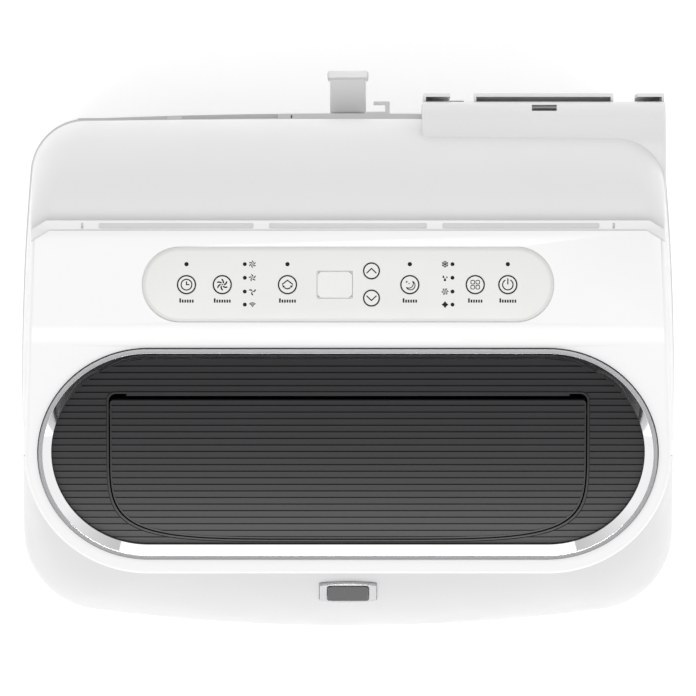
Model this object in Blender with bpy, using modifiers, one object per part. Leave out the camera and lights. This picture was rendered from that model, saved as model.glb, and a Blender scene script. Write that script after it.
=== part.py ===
"""Portable air conditioner: a wheeled cabinet with a tilted, pill-shaped air outlet on its top.

Run it with: blender --background --python part.py
The frame has +X to the user's right, +Y to the back and +Z up. The origin lies on the floor, under the
middle of the cabinet. Every size below is in millimetres, and the mesh helpers turn it into metres.
"""

import math

import bmesh
import bpy
from mathutils import Euler, Vector

MM = 0.001
GAP = 0.4  # between two parts that touch or seat in each other
RUNNING = 0.3  # between a shaft and its bearing

# Cabinet
HALF_WIDTH = 176.6
FRONT_Y = -150.3
BACK_Y = 127.1
TOP_Z = 700.0
SHELL_BOTTOM_Z = 50.0
WALL = 2.4
SEAM_Y = -58.0  # where the front panel meets the rear shell
WIDEST_Y = -12.0
SIDE_CROWN = 4.6  # how far the sides draw in at the rear corners
SHELF_Z = 558.0  # top of the rear shell's lower, wider part
SHOULDER_Z = 590.0  # where the shoulder starts to roll forward
FRONT_ROLL_Z = 560.0  # where the front panel starts to roll back
ROLL_START = math.radians(20)  # how far round its ellipse a roll ends, at the cover's rim

# Top cover and its outline in plan
COVER_SKIN = 4.0
COVER_SKIRT = 11.0
COVER_BACK_Y = 68.5
COVER_FRONT_Y = -121.3
COVER_EAR = (170.1, 63.5)
COVER_CHAMFER_X = 162.0
COVER_END_X = 173.7
LEDGE_WIDTH = 5.5
LEDGE_DROP = 2.0
LEDGE_CORNER_X = 160.4
LEDGE_END = (176.0, 53.4)
LEDGE_SLOTS = ((-133.9, -50.7), (-42.4, 42.4), (50.7, 135.0))
LEDGE_SLOT_Y = (64.2, 67.2)
LEDGE_NOTCH_X = 142.7

# The outlet's tilted plane
TILT = math.radians(17)
BEND_BACK_Y = 12.0
BEND_FRONT_Y = 2.0
OUTLET_Y = -56.9
OUTLET_STRAIGHT = 107.5  # half the straight part of the pill
OUTLET_Z = TOP_Z - math.tan(TILT) * ((BEND_BACK_Y + BEND_FRONT_Y) / 2 - OUTLET_Y)
RING_OUTER = 59.2
RING_RIM = 56.6
RING_INNER = 51.7
RING_TOP = 1.3
RING_STEP = -3.1  # where the ring's chamfer ends
BEZEL_TOP = -4.8
BEZEL_THICK = 2.4
BEZEL_RADIUS = 61.5

# Swing flap, in the tilted plane
FLAP_HALF = 127.9
FLAP_BACK = 28.5
FLAP_FRONT = -49.2
FLAP_POWER = 5.2
FLAP_WAIST = 10.5  # where the flap's straight sides turn into its rounded front
FLAP_GAP = 1.1
FLAP_BACK_GAP = 4.1
FLAP_PIVOT = (20.0, -13.0)
FLAP_EAR_X = 122.0
PIN_RADIUS = 2.5

# Control panel
PANEL_Y = 34.1
PANEL_HALF = 110.3
PANEL_RADIUS = 19.9
PANEL_TOP_Z = TOP_Z - 0.5
PANEL_THICK = 1.7
RECESS = 2.6
BUTTON_RADIUS = 4.9
ARROW_RADIUS = 4.3
BUTTON_GAP = 0.3
BUTTONS = {
    "timer_button": (-86.7, 34.0, BUTTON_RADIUS),
    "speed_button": (-67.5, 34.0, BUTTON_RADIUS),
    "swing_button": (-32.5, 34.0, BUTTON_RADIUS),
    "up_button": (12.6, 41.4, ARROW_RADIUS),
    "down_button": (12.6, 26.8, ARROW_RADIUS),
    "sleep_button": (33.2, 34.0, BUTTON_RADIUS),
    "mode_button": (68.3, 34.0, BUTTON_RADIUS),
    "power_button": (85.8, 34.0, BUTTON_RADIUS),
}
DISPLAY = (-7.1, 34.0, 18.5, 13.9)

# Remote receiver on the front panel's roll
RECEIVER_Y = -131.5
RECEIVER_TILT = math.radians(58.6)
RECEIVER_SIZE = (30.6, 19.4)
RECEIVER_WINDOW = (21.8, 14.8)
RECEIVER_DEPTH = 1.2

# Grilles, drains and the cord's fittings
REAR_GRILLE_X = (-147.0, -33.0)
REAR_GRILLE_Z = (345.0, 552.0)
SIDE_GRILLE_Y = (-16.0, 84.0)
SIDE_GRILLE_Z = (345.0, 552.0)
LOWER_GRILLE_X = (-120.0, 120.0)
LOWER_GRILLE_Z = (120.0, 290.0)
LOWER_SLOTS = 12
GRILLE_THICK = 3.0
GRILLE_BACK_Y = 126.7
SIDE_FILTER_X = -167.3
DRAIN_RADIUS = 6.3
DRAINS = {"upper_drain_cap": (0.0, 325.0), "lower_drain_plug": (0.0, 70.0)}
CORD_GLAND = (60.0, 92.0)
HOOK_ROOT_Y = 127.5
HOOK_BACK_Y = 150.4
HOOK_TONGUE = 4.2
BUTTON_HEIGHT = 1.5
BUTTON_PROUD = 0.2

# Hose outlet housing at the back right
HOUSING_X = (40.0, 171.5)
HOUSING_BACK_Y = 133.0
HOUSING_ROUND = 24.0
HOUSING_FRONT_Y = 60.0
HOUSING_Z = (455.0, 640.0)
HOSE_HOLE_X = (57.0, 154.5)
HOSE_HOLE_Z = (476.0, 596.0)
RAIL_BACK_Y = 137.6
RAIL_Z = (462.0, 614.0)
CATCH_X = (67.9, 143.2)
CATCH_Z = (600.0, 614.0)
LATCH_X = (99.2, 112.6)
LATCH_Y = (127.9, 131.2)

# Air duct, vanes and flap drive
DUCT_X = 134.5
DUCT_V = (-54.0, 38.0)
DUCT_BOTTOM_Z = 540.0
FLAP_THICK = 3.0
FLAP_PIN = 14.0
VANE_PLACE = (-58.0, 615.0)
VANE_ARM = 24.0
VANE_XS = (-78.0, -26.0, 26.0, 78.0)
SPINDLE_RADIUS = 2.0

# Cold and hot halves of the inside
DECK_Z = 318.0
EVAPORATOR_FAN = (-45.0, -52.0, 440.0)
EVAPORATOR_NECK = (-30.0, 38.0)
CONDENSER_FAN = (68.0, 30.0, 205.0)
CONDENSER_NECK = (76.0, 140.0)
MOTOR_RADIUS = 30.0
MOTOR_LENGTH = 34.0
SHAFT_RADIUS = 4.0
BLADES = 18
BLADE_PITCH = 0.5
COIL_FRONT_Y = 84.0
EVAPORATOR_COIL = ((-148.0, COIL_FRONT_Y, 352.0), (30.0, 108.0, 536.0))
CONDENSER_COIL = ((-130.0, COIL_FRONT_Y, 96.0), (118.0, 108.0, 296.0))
EXHAUST_BOX = (60.0, 142.0, 4.0, 56.0)
GUARD_SLOTS = 8
COMPRESSOR = (-75.0, -50.0)
SPLASH_WHEEL = (-95.0, 64.0, 92.0)
SPLASH_RADIUS = 32.0
PIPE_RADIUS = 4.0
PIPE_HOLE = (-130.0, 62.0)
CONTROL_BOX = ((70.0, -110.0, 345.0), (160.0, -72.0, 470.0))
FLOAT = (70.0, -100.0)

# Hand grips moulded into the sides
GRIP_Y = (-35.0, 42.0)
GRIP_Z = (600.0, 632.0)
GRIP_DEPTH_X = 148.4
GRIP_CUP_X = 173.6  # inside the thickness of the cabinet's side wall

# Casters
WHEEL_RADIUS = 17.0
WHEEL_WIDTH = 13.0
WHEEL_SIDES = 28
AXLE_RADIUS = 2.5
CASTER_TRAIL = 9.0
CASTER_TOP_Z = 45.4
CASTERS = {
    "front_left": (-122.0, -98.0),
    "front_right": (122.0, -98.0),
    "rear_left": (-122.0, 84.0),
    "rear_right": (122.0, 84.0),
}
PAN_BOTTOM_Z = 46.0
PAN_FLOOR_Z = 50.0
PAN_TOP_Z = 84.0
STEM_RADIUS = 3.5

WHITE = (0.90, 0.90, 0.90)
DARK = (0.07, 0.07, 0.075)


# ---------------------------------------------------------------- Blender helpers


def clear_scene():
    for obj in list(bpy.data.objects):
        bpy.data.objects.remove(obj)


def collection(name):
    made = bpy.data.collections.new(name)
    bpy.context.scene.collection.children.link(made)
    return made


def material(name, colour, roughness=0.4, metallic=0.0):
    made = bpy.data.materials.new(name)
    made.use_nodes = True
    shader = made.node_tree.nodes["Principled BSDF"]
    shader.inputs["Base Color"].default_value = (*colour, 1.0)
    shader.inputs["Roughness"].default_value = roughness
    shader.inputs["Metallic"].default_value = metallic
    return made


def place(name, data, mat, at=(0, 0, 0), turn=(0, 0, 0)):
    """An object of this mesh in the parts collection, at a point in millimetres and a turn in radians."""
    obj = bpy.data.objects.new(name, data)
    obj.location = [c * MM for c in at]
    obj.rotation_euler = turn
    if mat:
        data.materials.append(mat)
    PARTS.objects.link(obj)
    return obj


def finish_mesh(name, bm):
    bmesh.ops.recalc_face_normals(bm, faces=bm.faces)
    data = bpy.data.meshes.new(name)
    bm.to_mesh(data)
    bm.free()
    return data


def evaluated_mesh(obj):
    bpy.context.view_layer.update()
    graph = bpy.context.evaluated_depsgraph_get()
    return bpy.data.meshes.new_from_object(obj.evaluated_get(graph))


def block(name, low, high, mat=None, bevel=0.0):
    """A box between two corners, with its origin at its centre."""
    bm = bmesh.new()
    bmesh.ops.create_cube(bm, size=1.0)
    size = [(h - l) * MM for l, h in zip(low, high)]
    bmesh.ops.scale(bm, vec=size, verts=bm.verts)
    middle = [(l + h) / 2 for l, h in zip(low, high)]
    obj = place(name, finish_mesh(name, bm), mat, middle)
    return rounded(obj, bevel) if bevel else obj


def blocks(name, boxes):
    """Several separate boxes in one helper mesh, for a Boolean."""
    bm = bmesh.new()
    for low, high in boxes:
        made = bmesh.ops.create_cube(bm, size=1.0)["verts"]
        bmesh.ops.scale(bm, vec=[(h - l) * MM for l, h in zip(low, high)], verts=made)
        bmesh.ops.translate(bm, vec=[(l + h) / 2 * MM for l, h in zip(low, high)], verts=made)
    return place(name, finish_mesh(name, bm), None)


def rod(name, start, end, radius, mat=None, sides=16, end_radius=None):
    """A cylinder or a cone between two points."""
    start, end = Vector(start) * MM, Vector(end) * MM
    length = (end - start).length
    bm = bmesh.new()
    bmesh.ops.create_cone(
        bm,
        cap_ends=True,
        segments=sides,
        radius1=radius * MM,
        radius2=(radius if end_radius is None else end_radius) * MM,
        depth=length,
    )
    bmesh.ops.translate(bm, vec=(0, 0, length / 2), verts=bm.verts)
    turn = (end - start).to_track_quat("Z", "Y").to_euler()
    return place(name, finish_mesh(name, bm), mat, start / MM, turn)


def turned(name, profile, mat=None, at=(0, 0, 0), axis="Z", steps=24, phase=0.0):
    """A turned shape: (radius, height) points down its outer side, spun about the axis through the point at."""
    data = bpy.data.meshes.new(name)
    closed = profile[0][0] > 0 or profile[-1][0] > 0
    count = len(profile)
    edges = [(i, i + 1) for i in range(count - 1)] + ([(count - 1, 0)] if closed else [])
    spun = [(r * math.cos(phase) * MM, r * math.sin(phase) * MM, z * MM) for r, z in profile]
    data.from_pydata(spun, edges, [])
    turns = {"Z": (0, 0, 0), "Y": (-math.pi / 2, 0, 0), "X": (0, math.pi / 2, 0)}
    obj = place(name, data, mat, at, turns[axis])
    screw = obj.modifiers.new("Screw", "SCREW")
    screw.steps = screw.render_steps = steps
    screw.use_merge_vertices = True
    screw.merge_threshold = 0.00001
    return obj


def prism(name, outlines, low, high, mat=None, at=(0, 0, 0), turn=(0, 0, 0)):
    """A flat outline, with any holes, given thickness along its own Z from low to high."""
    curve = bpy.data.curves.new(name, "CURVE")
    curve.dimensions = "2D"
    curve.fill_mode = "BOTH"
    curve.extrude = (high - low) / 2 * MM
    for outline in outlines:
        spline = curve.splines.new("POLY")
        spline.points.add(len(outline) - 1)
        for point, (x, y) in zip(spline.points, outline):
            point.co = (x * MM, y * MM, 0, 1)
        spline.use_cyclic_u = True
    flat = bpy.data.objects.new(name + "_outline", curve)
    PARTS.objects.link(flat)
    data = evaluated_mesh(flat)
    bpy.data.objects.remove(flat)
    bm = bmesh.new()
    bm.from_mesh(data)
    bmesh.ops.remove_doubles(bm, verts=bm.verts, dist=1e-6)
    bmesh.ops.dissolve_limit(bm, angle_limit=0.001, verts=bm.verts, edges=bm.edges)
    bmesh.ops.translate(bm, vec=(0, 0, (low + high) / 2 * MM), verts=bm.verts)
    return place(name, finish_mesh(name, bm), mat, at, turn)


def tube(name, points, radius, mat, sides_level=1):
    """A pipe along a polyline with rounded corners."""
    curve = bpy.data.curves.new(name, "CURVE")
    curve.dimensions = "3D"
    curve.bevel_depth = radius * MM
    curve.bevel_resolution = sides_level
    curve.use_fill_caps = True
    path = rounded_path([Vector(p) for p in points], radius * 3)
    spline = curve.splines.new("POLY")
    spline.points.add(len(path) - 1)
    for point, place_mm in zip(spline.points, path):
        point.co = (*(place_mm * MM), 1)
    obj = bpy.data.objects.new(name, curve)
    curve.materials.append(mat)
    PARTS.objects.link(obj)
    return obj


def rounded_path(corners, radius, steps=3):
    path = [corners[0]]
    for before, corner, after in zip(corners, corners[1:], corners[2:]):
        into = (before - corner).normalized() * radius
        out = (after - corner).normalized() * radius
        for i in range(steps + 1):
            t = i / steps
            path.append(corner + into * (1 - t) ** 2 + out * t**2)
    return path + [corners[-1]]


def surface(name, rows, mat, closed_rows=False, closed_columns=False):
    """A sheet through rows of points, for a loft between unlike outlines."""
    bm = bmesh.new()
    grid = [[bm.verts.new([c * MM for c in point]) for point in row] for row in rows]
    row_steps = len(grid) if closed_rows else len(grid) - 1
    columns = len(grid[0]) if closed_columns else len(grid[0]) - 1
    for i in range(row_steps):
        upper = grid[(i + 1) % len(grid)]
        for j in range(columns):
            k = (j + 1) % len(grid[0])
            bm.faces.new((grid[i][j], grid[i][k], upper[k], upper[j]))
    data = bpy.data.meshes.new(name)
    bm.to_mesh(data)
    bm.free()
    return place(name, data, mat)


def rounded(obj, width, segments=1):
    bevel = obj.modifiers.new("Bevel", "BEVEL")
    bevel.width = width * MM
    bevel.segments = segments
    bevel.limit_method = "ANGLE"
    bevel.angle_limit = math.radians(40)
    return obj


def combine(target, other, operation):
    boolean = target.modifiers.new(operation.title(), "BOOLEAN")
    boolean.operation = operation
    boolean.object = other
    boolean.solver = "EXACT"
    other.hide_render = True
    other.display_type = "WIRE"
    if other.name in PARTS.objects:
        PARTS.objects.unlink(other)
        TOOLS.objects.link(other)
    return target


def cut(target, *others):
    for other in others:
        combine(target, other, "DIFFERENCE")
    return target


def join(target, *others):
    for other in others:
        combine(target, other, "UNION")
    return target


def move_origin(obj, point):
    """Moves an object's origin onto its joint's axis, and leaves its shape where it is."""
    bpy.context.view_layer.update()
    shift = obj.matrix_world.inverted() @ (Vector(point) * MM)
    obj.data.transform(obj.matrix_world.Translation(-shift))
    obj.location = Vector(point) * MM
    return obj


# ---------------------------------------------------------------- shared outlines


def skin_z(y):
    """Height of the top cover's skin: flat behind, tilted in front, with a soft bend between."""
    fall = math.tan(TILT)
    if y >= BEND_BACK_Y:
        return TOP_Z
    if y <= BEND_FRONT_Y:
        return TOP_Z - fall * ((BEND_BACK_Y + BEND_FRONT_Y) / 2 - y)
    return TOP_Z - fall * (BEND_BACK_Y - y) ** 2 / (2 * (BEND_BACK_Y - BEND_FRONT_Y))


def rim_z(y):
    return skin_z(y) - COVER_SKIRT - GAP


def outlet_point(v, w):
    """World (y, z) of a point in the tilted plane: v up the slope, w out of it."""
    y = OUTLET_Y + v * math.cos(TILT) - w * math.sin(TILT)
    z = OUTLET_Z + v * math.sin(TILT) + w * math.cos(TILT)
    return y, z


OUTLET_FRAME = {"at": (0, OUTLET_Y, OUTLET_Z), "turn": (TILT, 0, 0)}


def pill(half_straight, radius, steps=12, centre_y=0.0):
    """A pill outline, counter-clockwise from its right end's bottom."""
    right = [math.radians(-90 + 180 * i / steps) for i in range(steps + 1)]
    ends = [(half_straight, a) for a in right] + [(-half_straight, a + math.pi) for a in right]
    return [(x + radius * math.cos(a), centre_y + radius * math.sin(a)) for x, a in ends]


def rounded_rectangle(width, height, radius, steps=3, centre=(0.0, 0.0)):
    points = []
    for i, (sx, sy) in enumerate(((1, 1), (-1, 1), (-1, -1), (1, -1))):
        for k in range(steps + 1):
            a = math.radians(90 * i + 90 * k / steps)
            x = sx * (width / 2 - radius) + radius * math.cos(a)
            y = sy * (height / 2 - radius) + radius * math.sin(a)
            points.append((centre[0] + x, centre[1] + y))
    return points


def cover_end(angle):
    """A point on the cover's rounded front end: 0 is its widest point and 90 its front."""
    x = OUTLET_STRAIGHT + (COVER_END_X - OUTLET_STRAIGHT) * math.cos(angle)
    return x, OUTLET_Y + (COVER_FRONT_Y - OUTLET_Y) * math.sin(angle)


CROWN_ANGLE = math.radians(7.5)
CROWN_RADIUS = 1056.0
CORNER_RADIUS = 43.4
FRONT_CORNER_X = (CROWN_RADIUS - CORNER_RADIUS) * math.sin(CROWN_ANGLE)
FRONT_CORNER_Y = FRONT_Y + CROWN_RADIUS - (CROWN_RADIUS - CORNER_RADIUS) * math.cos(CROWN_ANGLE)


def front_columns(flat=4, end=9):
    """Right half of the front panel, from its middle: pairs of rim point and body point."""
    pairs = []
    for i in range(flat):
        a = CROWN_ANGLE * i / flat
        body = (CROWN_RADIUS * math.sin(a), FRONT_Y + CROWN_RADIUS * (1 - math.cos(a)))
        pairs.append(((OUTLET_STRAIGHT * i / flat, COVER_FRONT_Y), body))
    bend = CORNER_RADIUS * (math.pi / 2 - CROWN_ANGLE)
    side = SEAM_Y - GAP / 2 - FRONT_CORNER_Y
    widest = FRONT_CORNER_X + CORNER_RADIUS
    for i in range(end + 1):
        run = (bend + side) * i / end
        if run < bend:
            a = CROWN_ANGLE + run / CORNER_RADIUS
            x = FRONT_CORNER_X + CORNER_RADIUS * math.sin(a)
            body = (x, FRONT_CORNER_Y - CORNER_RADIUS * math.cos(a))
        else:
            share = (run - bend) / side
            body = (widest + (side_x(SEAM_Y) - widest) * share, FRONT_CORNER_Y + run - bend)
        pairs.append((cover_end(math.radians(90 * (1 - i / end))), body))
    rim, body = pairs[-1]
    pairs[-1] = ((rim[0], SEAM_Y - GAP / 2), body)
    return pairs


REAR_CORNER_RADIUS = 30.0
REAR_CROWN = 2.9
UPPER_CROWN = 1.2
SHELF_WIDTH = (0.3, 1.6)  # at the seam and at the rear corner
SIDE_END_Y = 96.8
SIDE_SLOPE = math.atan(2 * SIDE_CROWN / (SIDE_END_Y - WIDEST_Y))


def side_x(y):
    """Half width of the cabinet along its gently bowed sides."""
    return HALF_WIDTH - SIDE_CROWN * ((y - WIDEST_Y) / (SIDE_END_Y - WIDEST_Y)) ** 2


REAR_CORNER = (
    side_x(SIDE_END_Y) - REAR_CORNER_RADIUS * math.cos(SIDE_SLOPE),
    SIDE_END_Y - REAR_CORNER_RADIUS * math.sin(SIDE_SLOPE),
)


def rear_columns(side=3, corner=5, back=4):
    """Right half of the rear shell, from the seam: triples of rim point, shoulder point and lower point."""
    start_y = SEAM_Y + GAP / 2
    triples = []
    for i in range(side):
        t = i / side
        rim = (COVER_END_X + (COVER_EAR[0] - COVER_END_X) * t, start_y + (COVER_EAR[1] - start_y) * t)
        y = start_y + (SIDE_END_Y - start_y) * t
        shelf = SHELF_WIDTH[0] + (SHELF_WIDTH[1] - SHELF_WIDTH[0]) * t
        triples.append((rim, (side_x(y) - shelf, y), (side_x(y), y)))
    for i in range(corner + 1):
        t = i / corner
        a = SIDE_SLOPE + (math.pi / 2 - SIDE_SLOPE) * t
        rim = (
            COVER_EAR[0] + (COVER_CHAMFER_X - COVER_EAR[0]) * t,
            COVER_EAR[1] + (COVER_BACK_Y - COVER_EAR[1]) * t,
        )
        pair = [
            (REAR_CORNER[0] + r * math.cos(a), REAR_CORNER[1] + r * math.sin(a))
            for r in (REAR_CORNER_RADIUS - SHELF_WIDTH[1], REAR_CORNER_RADIUS)
        ]
        triples.append((rim, *pair))
    for i in range(1, back + 1):
        t = i / back
        x = REAR_CORNER[0] * (1 - t)
        bulge = 1 - (x / REAR_CORNER[0]) ** 2
        upper = REAR_CORNER[1] + REAR_CORNER_RADIUS - SHELF_WIDTH[1] + UPPER_CROWN * bulge
        lower = REAR_CORNER[1] + REAR_CORNER_RADIUS + REAR_CROWN * bulge
        triples.append(((COVER_CHAMFER_X * (1 - t), COVER_BACK_Y), (x, upper), (x, lower)))
    return triples


def roll(rim, body, body_z, share):
    """A point on the rounded roll between a body wall (share 0) and the cover's rim (share 1)."""
    a = math.pi / 2 - (math.pi / 2 - ROLL_START) * share
    out = (math.sin(a) - math.sin(ROLL_START)) / (1 - math.sin(ROLL_START))
    up = math.cos(a) / math.cos(ROLL_START)
    return (
        rim[0] + (body[0] - rim[0]) * out,
        rim[1] + (body[1] - rim[1]) * out,
        body_z + (rim_z(rim[1]) - body_z) * up,
    )


def mirrored(half):
    """The whole row from its right half, which starts or ends on the middle plane."""
    left = [(-p[0], *p[1:]) for p in reversed(half)]
    return left[:-1] + half if abs(half[0][0]) < 1e-6 else half[:-1] + left


def lower_outline(inset):
    """The cabinet's plan outline below the shelf, moved inwards: for the pan, deck and other trays."""
    half = [body for _, body in front_columns(3, 6)]
    half += [lower for _, _, lower in rear_columns(2, 4, 3)][:-1]
    whole = half + [(-x, y) for x, y in reversed(half[1:])]
    back = (0.0, BACK_Y)
    whole.insert(len(half), back)
    middle = Vector((0.0, (FRONT_Y + BACK_Y) / 2))
    reach = Vector((HALF_WIDTH, (BACK_Y - FRONT_Y) / 2))
    scale = Vector(((reach.x - inset) / reach.x, (reach.y - inset) / reach.y))
    return [(x * scale.x, middle.y + (y - middle.y) * scale.y) for x, y in whole]


# ---------------------------------------------------------------- cabinet shells

ROLL_STEPS = 5
SIDE_TURN = (math.pi / 2, 0, math.pi / 2)  # stands an outline up: its x runs along Y, its y along Z


def shell(name, rows, mat):
    obj = surface(name, rows, mat)
    solidify = obj.modifiers.new("Solidify", "SOLIDIFY")
    solidify.thickness = WALL * MM
    solidify.offset = -1
    solidify.use_even_offset = True
    return obj


def receiver_place():
    """The point on the front panel's roll where the receiver sits."""
    out = (RECEIVER_Y - COVER_FRONT_Y) / (FRONT_Y - COVER_FRONT_Y)
    rise = math.sin(ROLL_START) + out * (1 - math.sin(ROLL_START))
    up = math.sqrt(1 - rise**2) / math.cos(ROLL_START)
    return 0, RECEIVER_Y, FRONT_ROLL_Z + (rim_z(COVER_FRONT_Y) - FRONT_ROLL_Z) * up


def front_panel():
    pairs = front_columns()
    rows = [mirrored([(*body, z) for _, body in pairs]) for z in (SHELL_BOTTOM_Z, FRONT_ROLL_Z)]
    for i in range(1, ROLL_STEPS + 1):
        share = i / ROLL_STEPS
        rows.append(mirrored([roll(rim, body, FRONT_ROLL_Z, share) for rim, body in pairs]))
    panel = shell("front_panel", rows, WHITE_PLASTIC)
    x, y, z = receiver_place()
    outline = receiver_outline(RECEIVER_SIZE[0] + 2 * GAP, RECEIVER_SIZE[1] + 2 * GAP)
    pocket = prism("receiver_pocket", [outline], -RECEIVER_DEPTH, 5, None, (x, y, z), (RECEIVER_TILT, 0, 0))
    return cut(panel, pocket)


def rear_rows():
    triples = rear_columns()
    levels = ((SHELL_BOTTOM_Z, 2), (SHELF_Z, 2), (SHELF_Z + 0.8, 1), (SHOULDER_Z, 1))
    rows = [mirrored([(*triple[which], z) for triple in triples]) for z, which in levels]
    for i in range(1, ROLL_STEPS + 1):
        share = i / ROLL_STEPS
        rows.append(mirrored([roll(rim, upper, SHOULDER_Z, share) for rim, upper, _ in triples]))
    return rows


def rear_shell():
    body = shell("rear_shell", rear_rows(), WHITE_PLASTIC)
    join(body, housing_block("hose_housing", 0.0, HOUSING_X, HOUSING_FRONT_Y))
    for rail in hose_rails():
        join(body, rail)
    for side in (-1, 1):
        join(body, grip_block(f"grip_cup_{side}", side, WALL, GRIP_CUP_X))
    for side in (-1, 1):
        cut(body, grip_block(f"grip_hollow_{side}", side, 0.0, 190.0))
    inner_x = (HOUSING_X[0] + WALL, HOUSING_X[1] - 6.5)
    cut(body, housing_block("hose_housing_inside", WALL, inner_x, HOUSING_FRONT_Y - 10))
    hole = ((HOSE_HOLE_X[0], 120, HOSE_HOLE_Z[0]), (HOSE_HOLE_X[1], 140, HOSE_HOLE_Z[1]))
    cut(body, block("hose_hole", *hole))
    cut(body, blocks("shell_openings", shell_openings()))
    return body


def housing_block(name, inset, xs, front_y, steps=6):
    """The hose housing's space, moved inwards: square but for its rounded upper back edge."""
    back, top = HOUSING_BACK_Y - inset, HOUSING_Z[1] - inset
    radius, bottom = HOUSING_ROUND - inset, HOUSING_Z[0] + inset
    angles = [math.radians(90 * i / steps) for i in range(steps + 1)]
    edge = [(back - radius * (1 - math.cos(a)), top - radius * (1 - math.sin(a))) for a in angles]
    return prism(name, [[(front_y, bottom), (back, bottom), *edge, (front_y, top)]], *xs, None, turn=SIDE_TURN)


def grip_block(name, side, grow, reach):
    """A hand grip's space in the cabinet's side, grown by the wall of its cup."""
    xs = sorted((side * (GRIP_DEPTH_X - grow), side * reach))
    low = (xs[0], GRIP_Y[0] - grow, GRIP_Z[0] - grow)
    high = (xs[1], GRIP_Y[1] + grow, GRIP_Z[1] + grow)
    return block(name, low, high)


def hose_rails():
    """Two slide rails beside the hose hole, open at the top for the hose's adapter, and a catch over the hole."""
    low, high = RAIL_Z
    lip, root = (RAIL_BACK_Y - 2.0, RAIL_BACK_Y), HOUSING_BACK_Y - 1.0
    reach, wall = 14.6, 1.4
    boxes = []
    for outer, inward in ((HOUSING_X[0] + 0.7, 1), (HOUSING_X[1] - 0.7, -1)):
        side_x_range = sorted((outer, outer + inward * wall))
        lip_x_range = sorted((outer, outer + inward * reach))
        boxes.append(((side_x_range[0], root, low), (side_x_range[1], lip[1], high)))
        boxes.append(((lip_x_range[0], lip[0], low), (lip_x_range[1], lip[1], high)))
        boxes.append(((lip_x_range[0], root, low), (lip_x_range[1], lip[1], low + 2.0)))
    (x0, x1), (z0, z1) = CATCH_X, CATCH_Z
    boxes += [
        ((x0, lip[0], z0), (x1, lip[1], z1)),
        ((x0, root, z0), (x0 + wall, lip[1], z1)),
        ((x1 - wall, root, z0), (x1, lip[1], z1)),
    ]
    return [block(f"hose_rail_{i}", *box) for i, box in enumerate(boxes)]


def shell_openings():
    """Grille openings, the vents of the lower half, the adapter's latch hole and the drain holes."""
    boxes = [
        ((REAR_GRILLE_X[0], 110, REAR_GRILLE_Z[0]), (REAR_GRILLE_X[1], 140, REAR_GRILLE_Z[1])),
        ((-185, SIDE_GRILLE_Y[0], SIDE_GRILLE_Z[0]), (-160, SIDE_GRILLE_Y[1], SIDE_GRILLE_Z[1])),
    ]
    (x0, x1), (z0, z1) = LOWER_GRILLE_X, LOWER_GRILLE_Z
    pitch = (z1 - z0) / LOWER_SLOTS
    for i in range(LOWER_SLOTS):
        z = z0 + pitch * i
        boxes += [((x0, 110, z), (-3, 140, z + pitch * 0.6)), ((3, 110, z), (x1, 140, z + pitch * 0.6))]
    boxes.append(((LATCH_X[0], LATCH_Y[0], HOUSING_Z[1] - 30), (LATCH_X[1], LATCH_Y[1], HOUSING_Z[1] + 5)))
    for x, z in DRAINS.values():
        boxes.append(((x - DRAIN_RADIUS, 110, z - DRAIN_RADIUS), (x + DRAIN_RADIUS, 140, z + DRAIN_RADIUS)))
    return boxes


# ---------------------------------------------------------------- top cover


def cover_outline(inset=0.0, steps=8):
    """The cover's plan outline, moved inwards."""
    front = [cover_end(math.radians(90 * i / steps)) for i in range(steps + 1)]
    right = [COVER_EAR, *front]
    right = [(COVER_CHAMFER_X, COVER_BACK_Y), *right]
    whole = right + [(-x, y) for x, y in reversed(right)]
    shrink_x = (COVER_END_X - inset) / COVER_END_X
    middle = (COVER_BACK_Y + COVER_FRONT_Y) / 2
    half = (COVER_BACK_Y - COVER_FRONT_Y) / 2
    shrink_y = (half - inset) / half
    return [(x * shrink_x, middle + (y - middle) * shrink_y) for x, y in whole]


def cover_layer(name, top_drop, bottom_drop, inset):
    """The part of the space under the cover's skin between two depths and inside an inset outline."""
    ys = [-140, BEND_FRONT_Y, (BEND_FRONT_Y * 3 + BEND_BACK_Y) / 4, 7.0, 9.5, BEND_BACK_Y, 90]
    top = [(y, skin_z(y) - top_drop) for y in ys]
    bottom = [(y, skin_z(y) - bottom_drop) for y in reversed(ys)]
    layer = prism(name, [top + bottom], -190, 190, None, turn=SIDE_TURN)
    plan = prism(name + "_plan", [cover_outline(inset)], 560, 760)
    return combine(layer, plan, "INTERSECT")


def ledge_edge():
    """Right half of the line where the cover's main face ends and its rear ledge begins."""
    return [(LEDGE_CORNER_X, COVER_BACK_Y - LEDGE_WIDTH), LEDGE_END, (190.0, LEDGE_END[1])]


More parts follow.
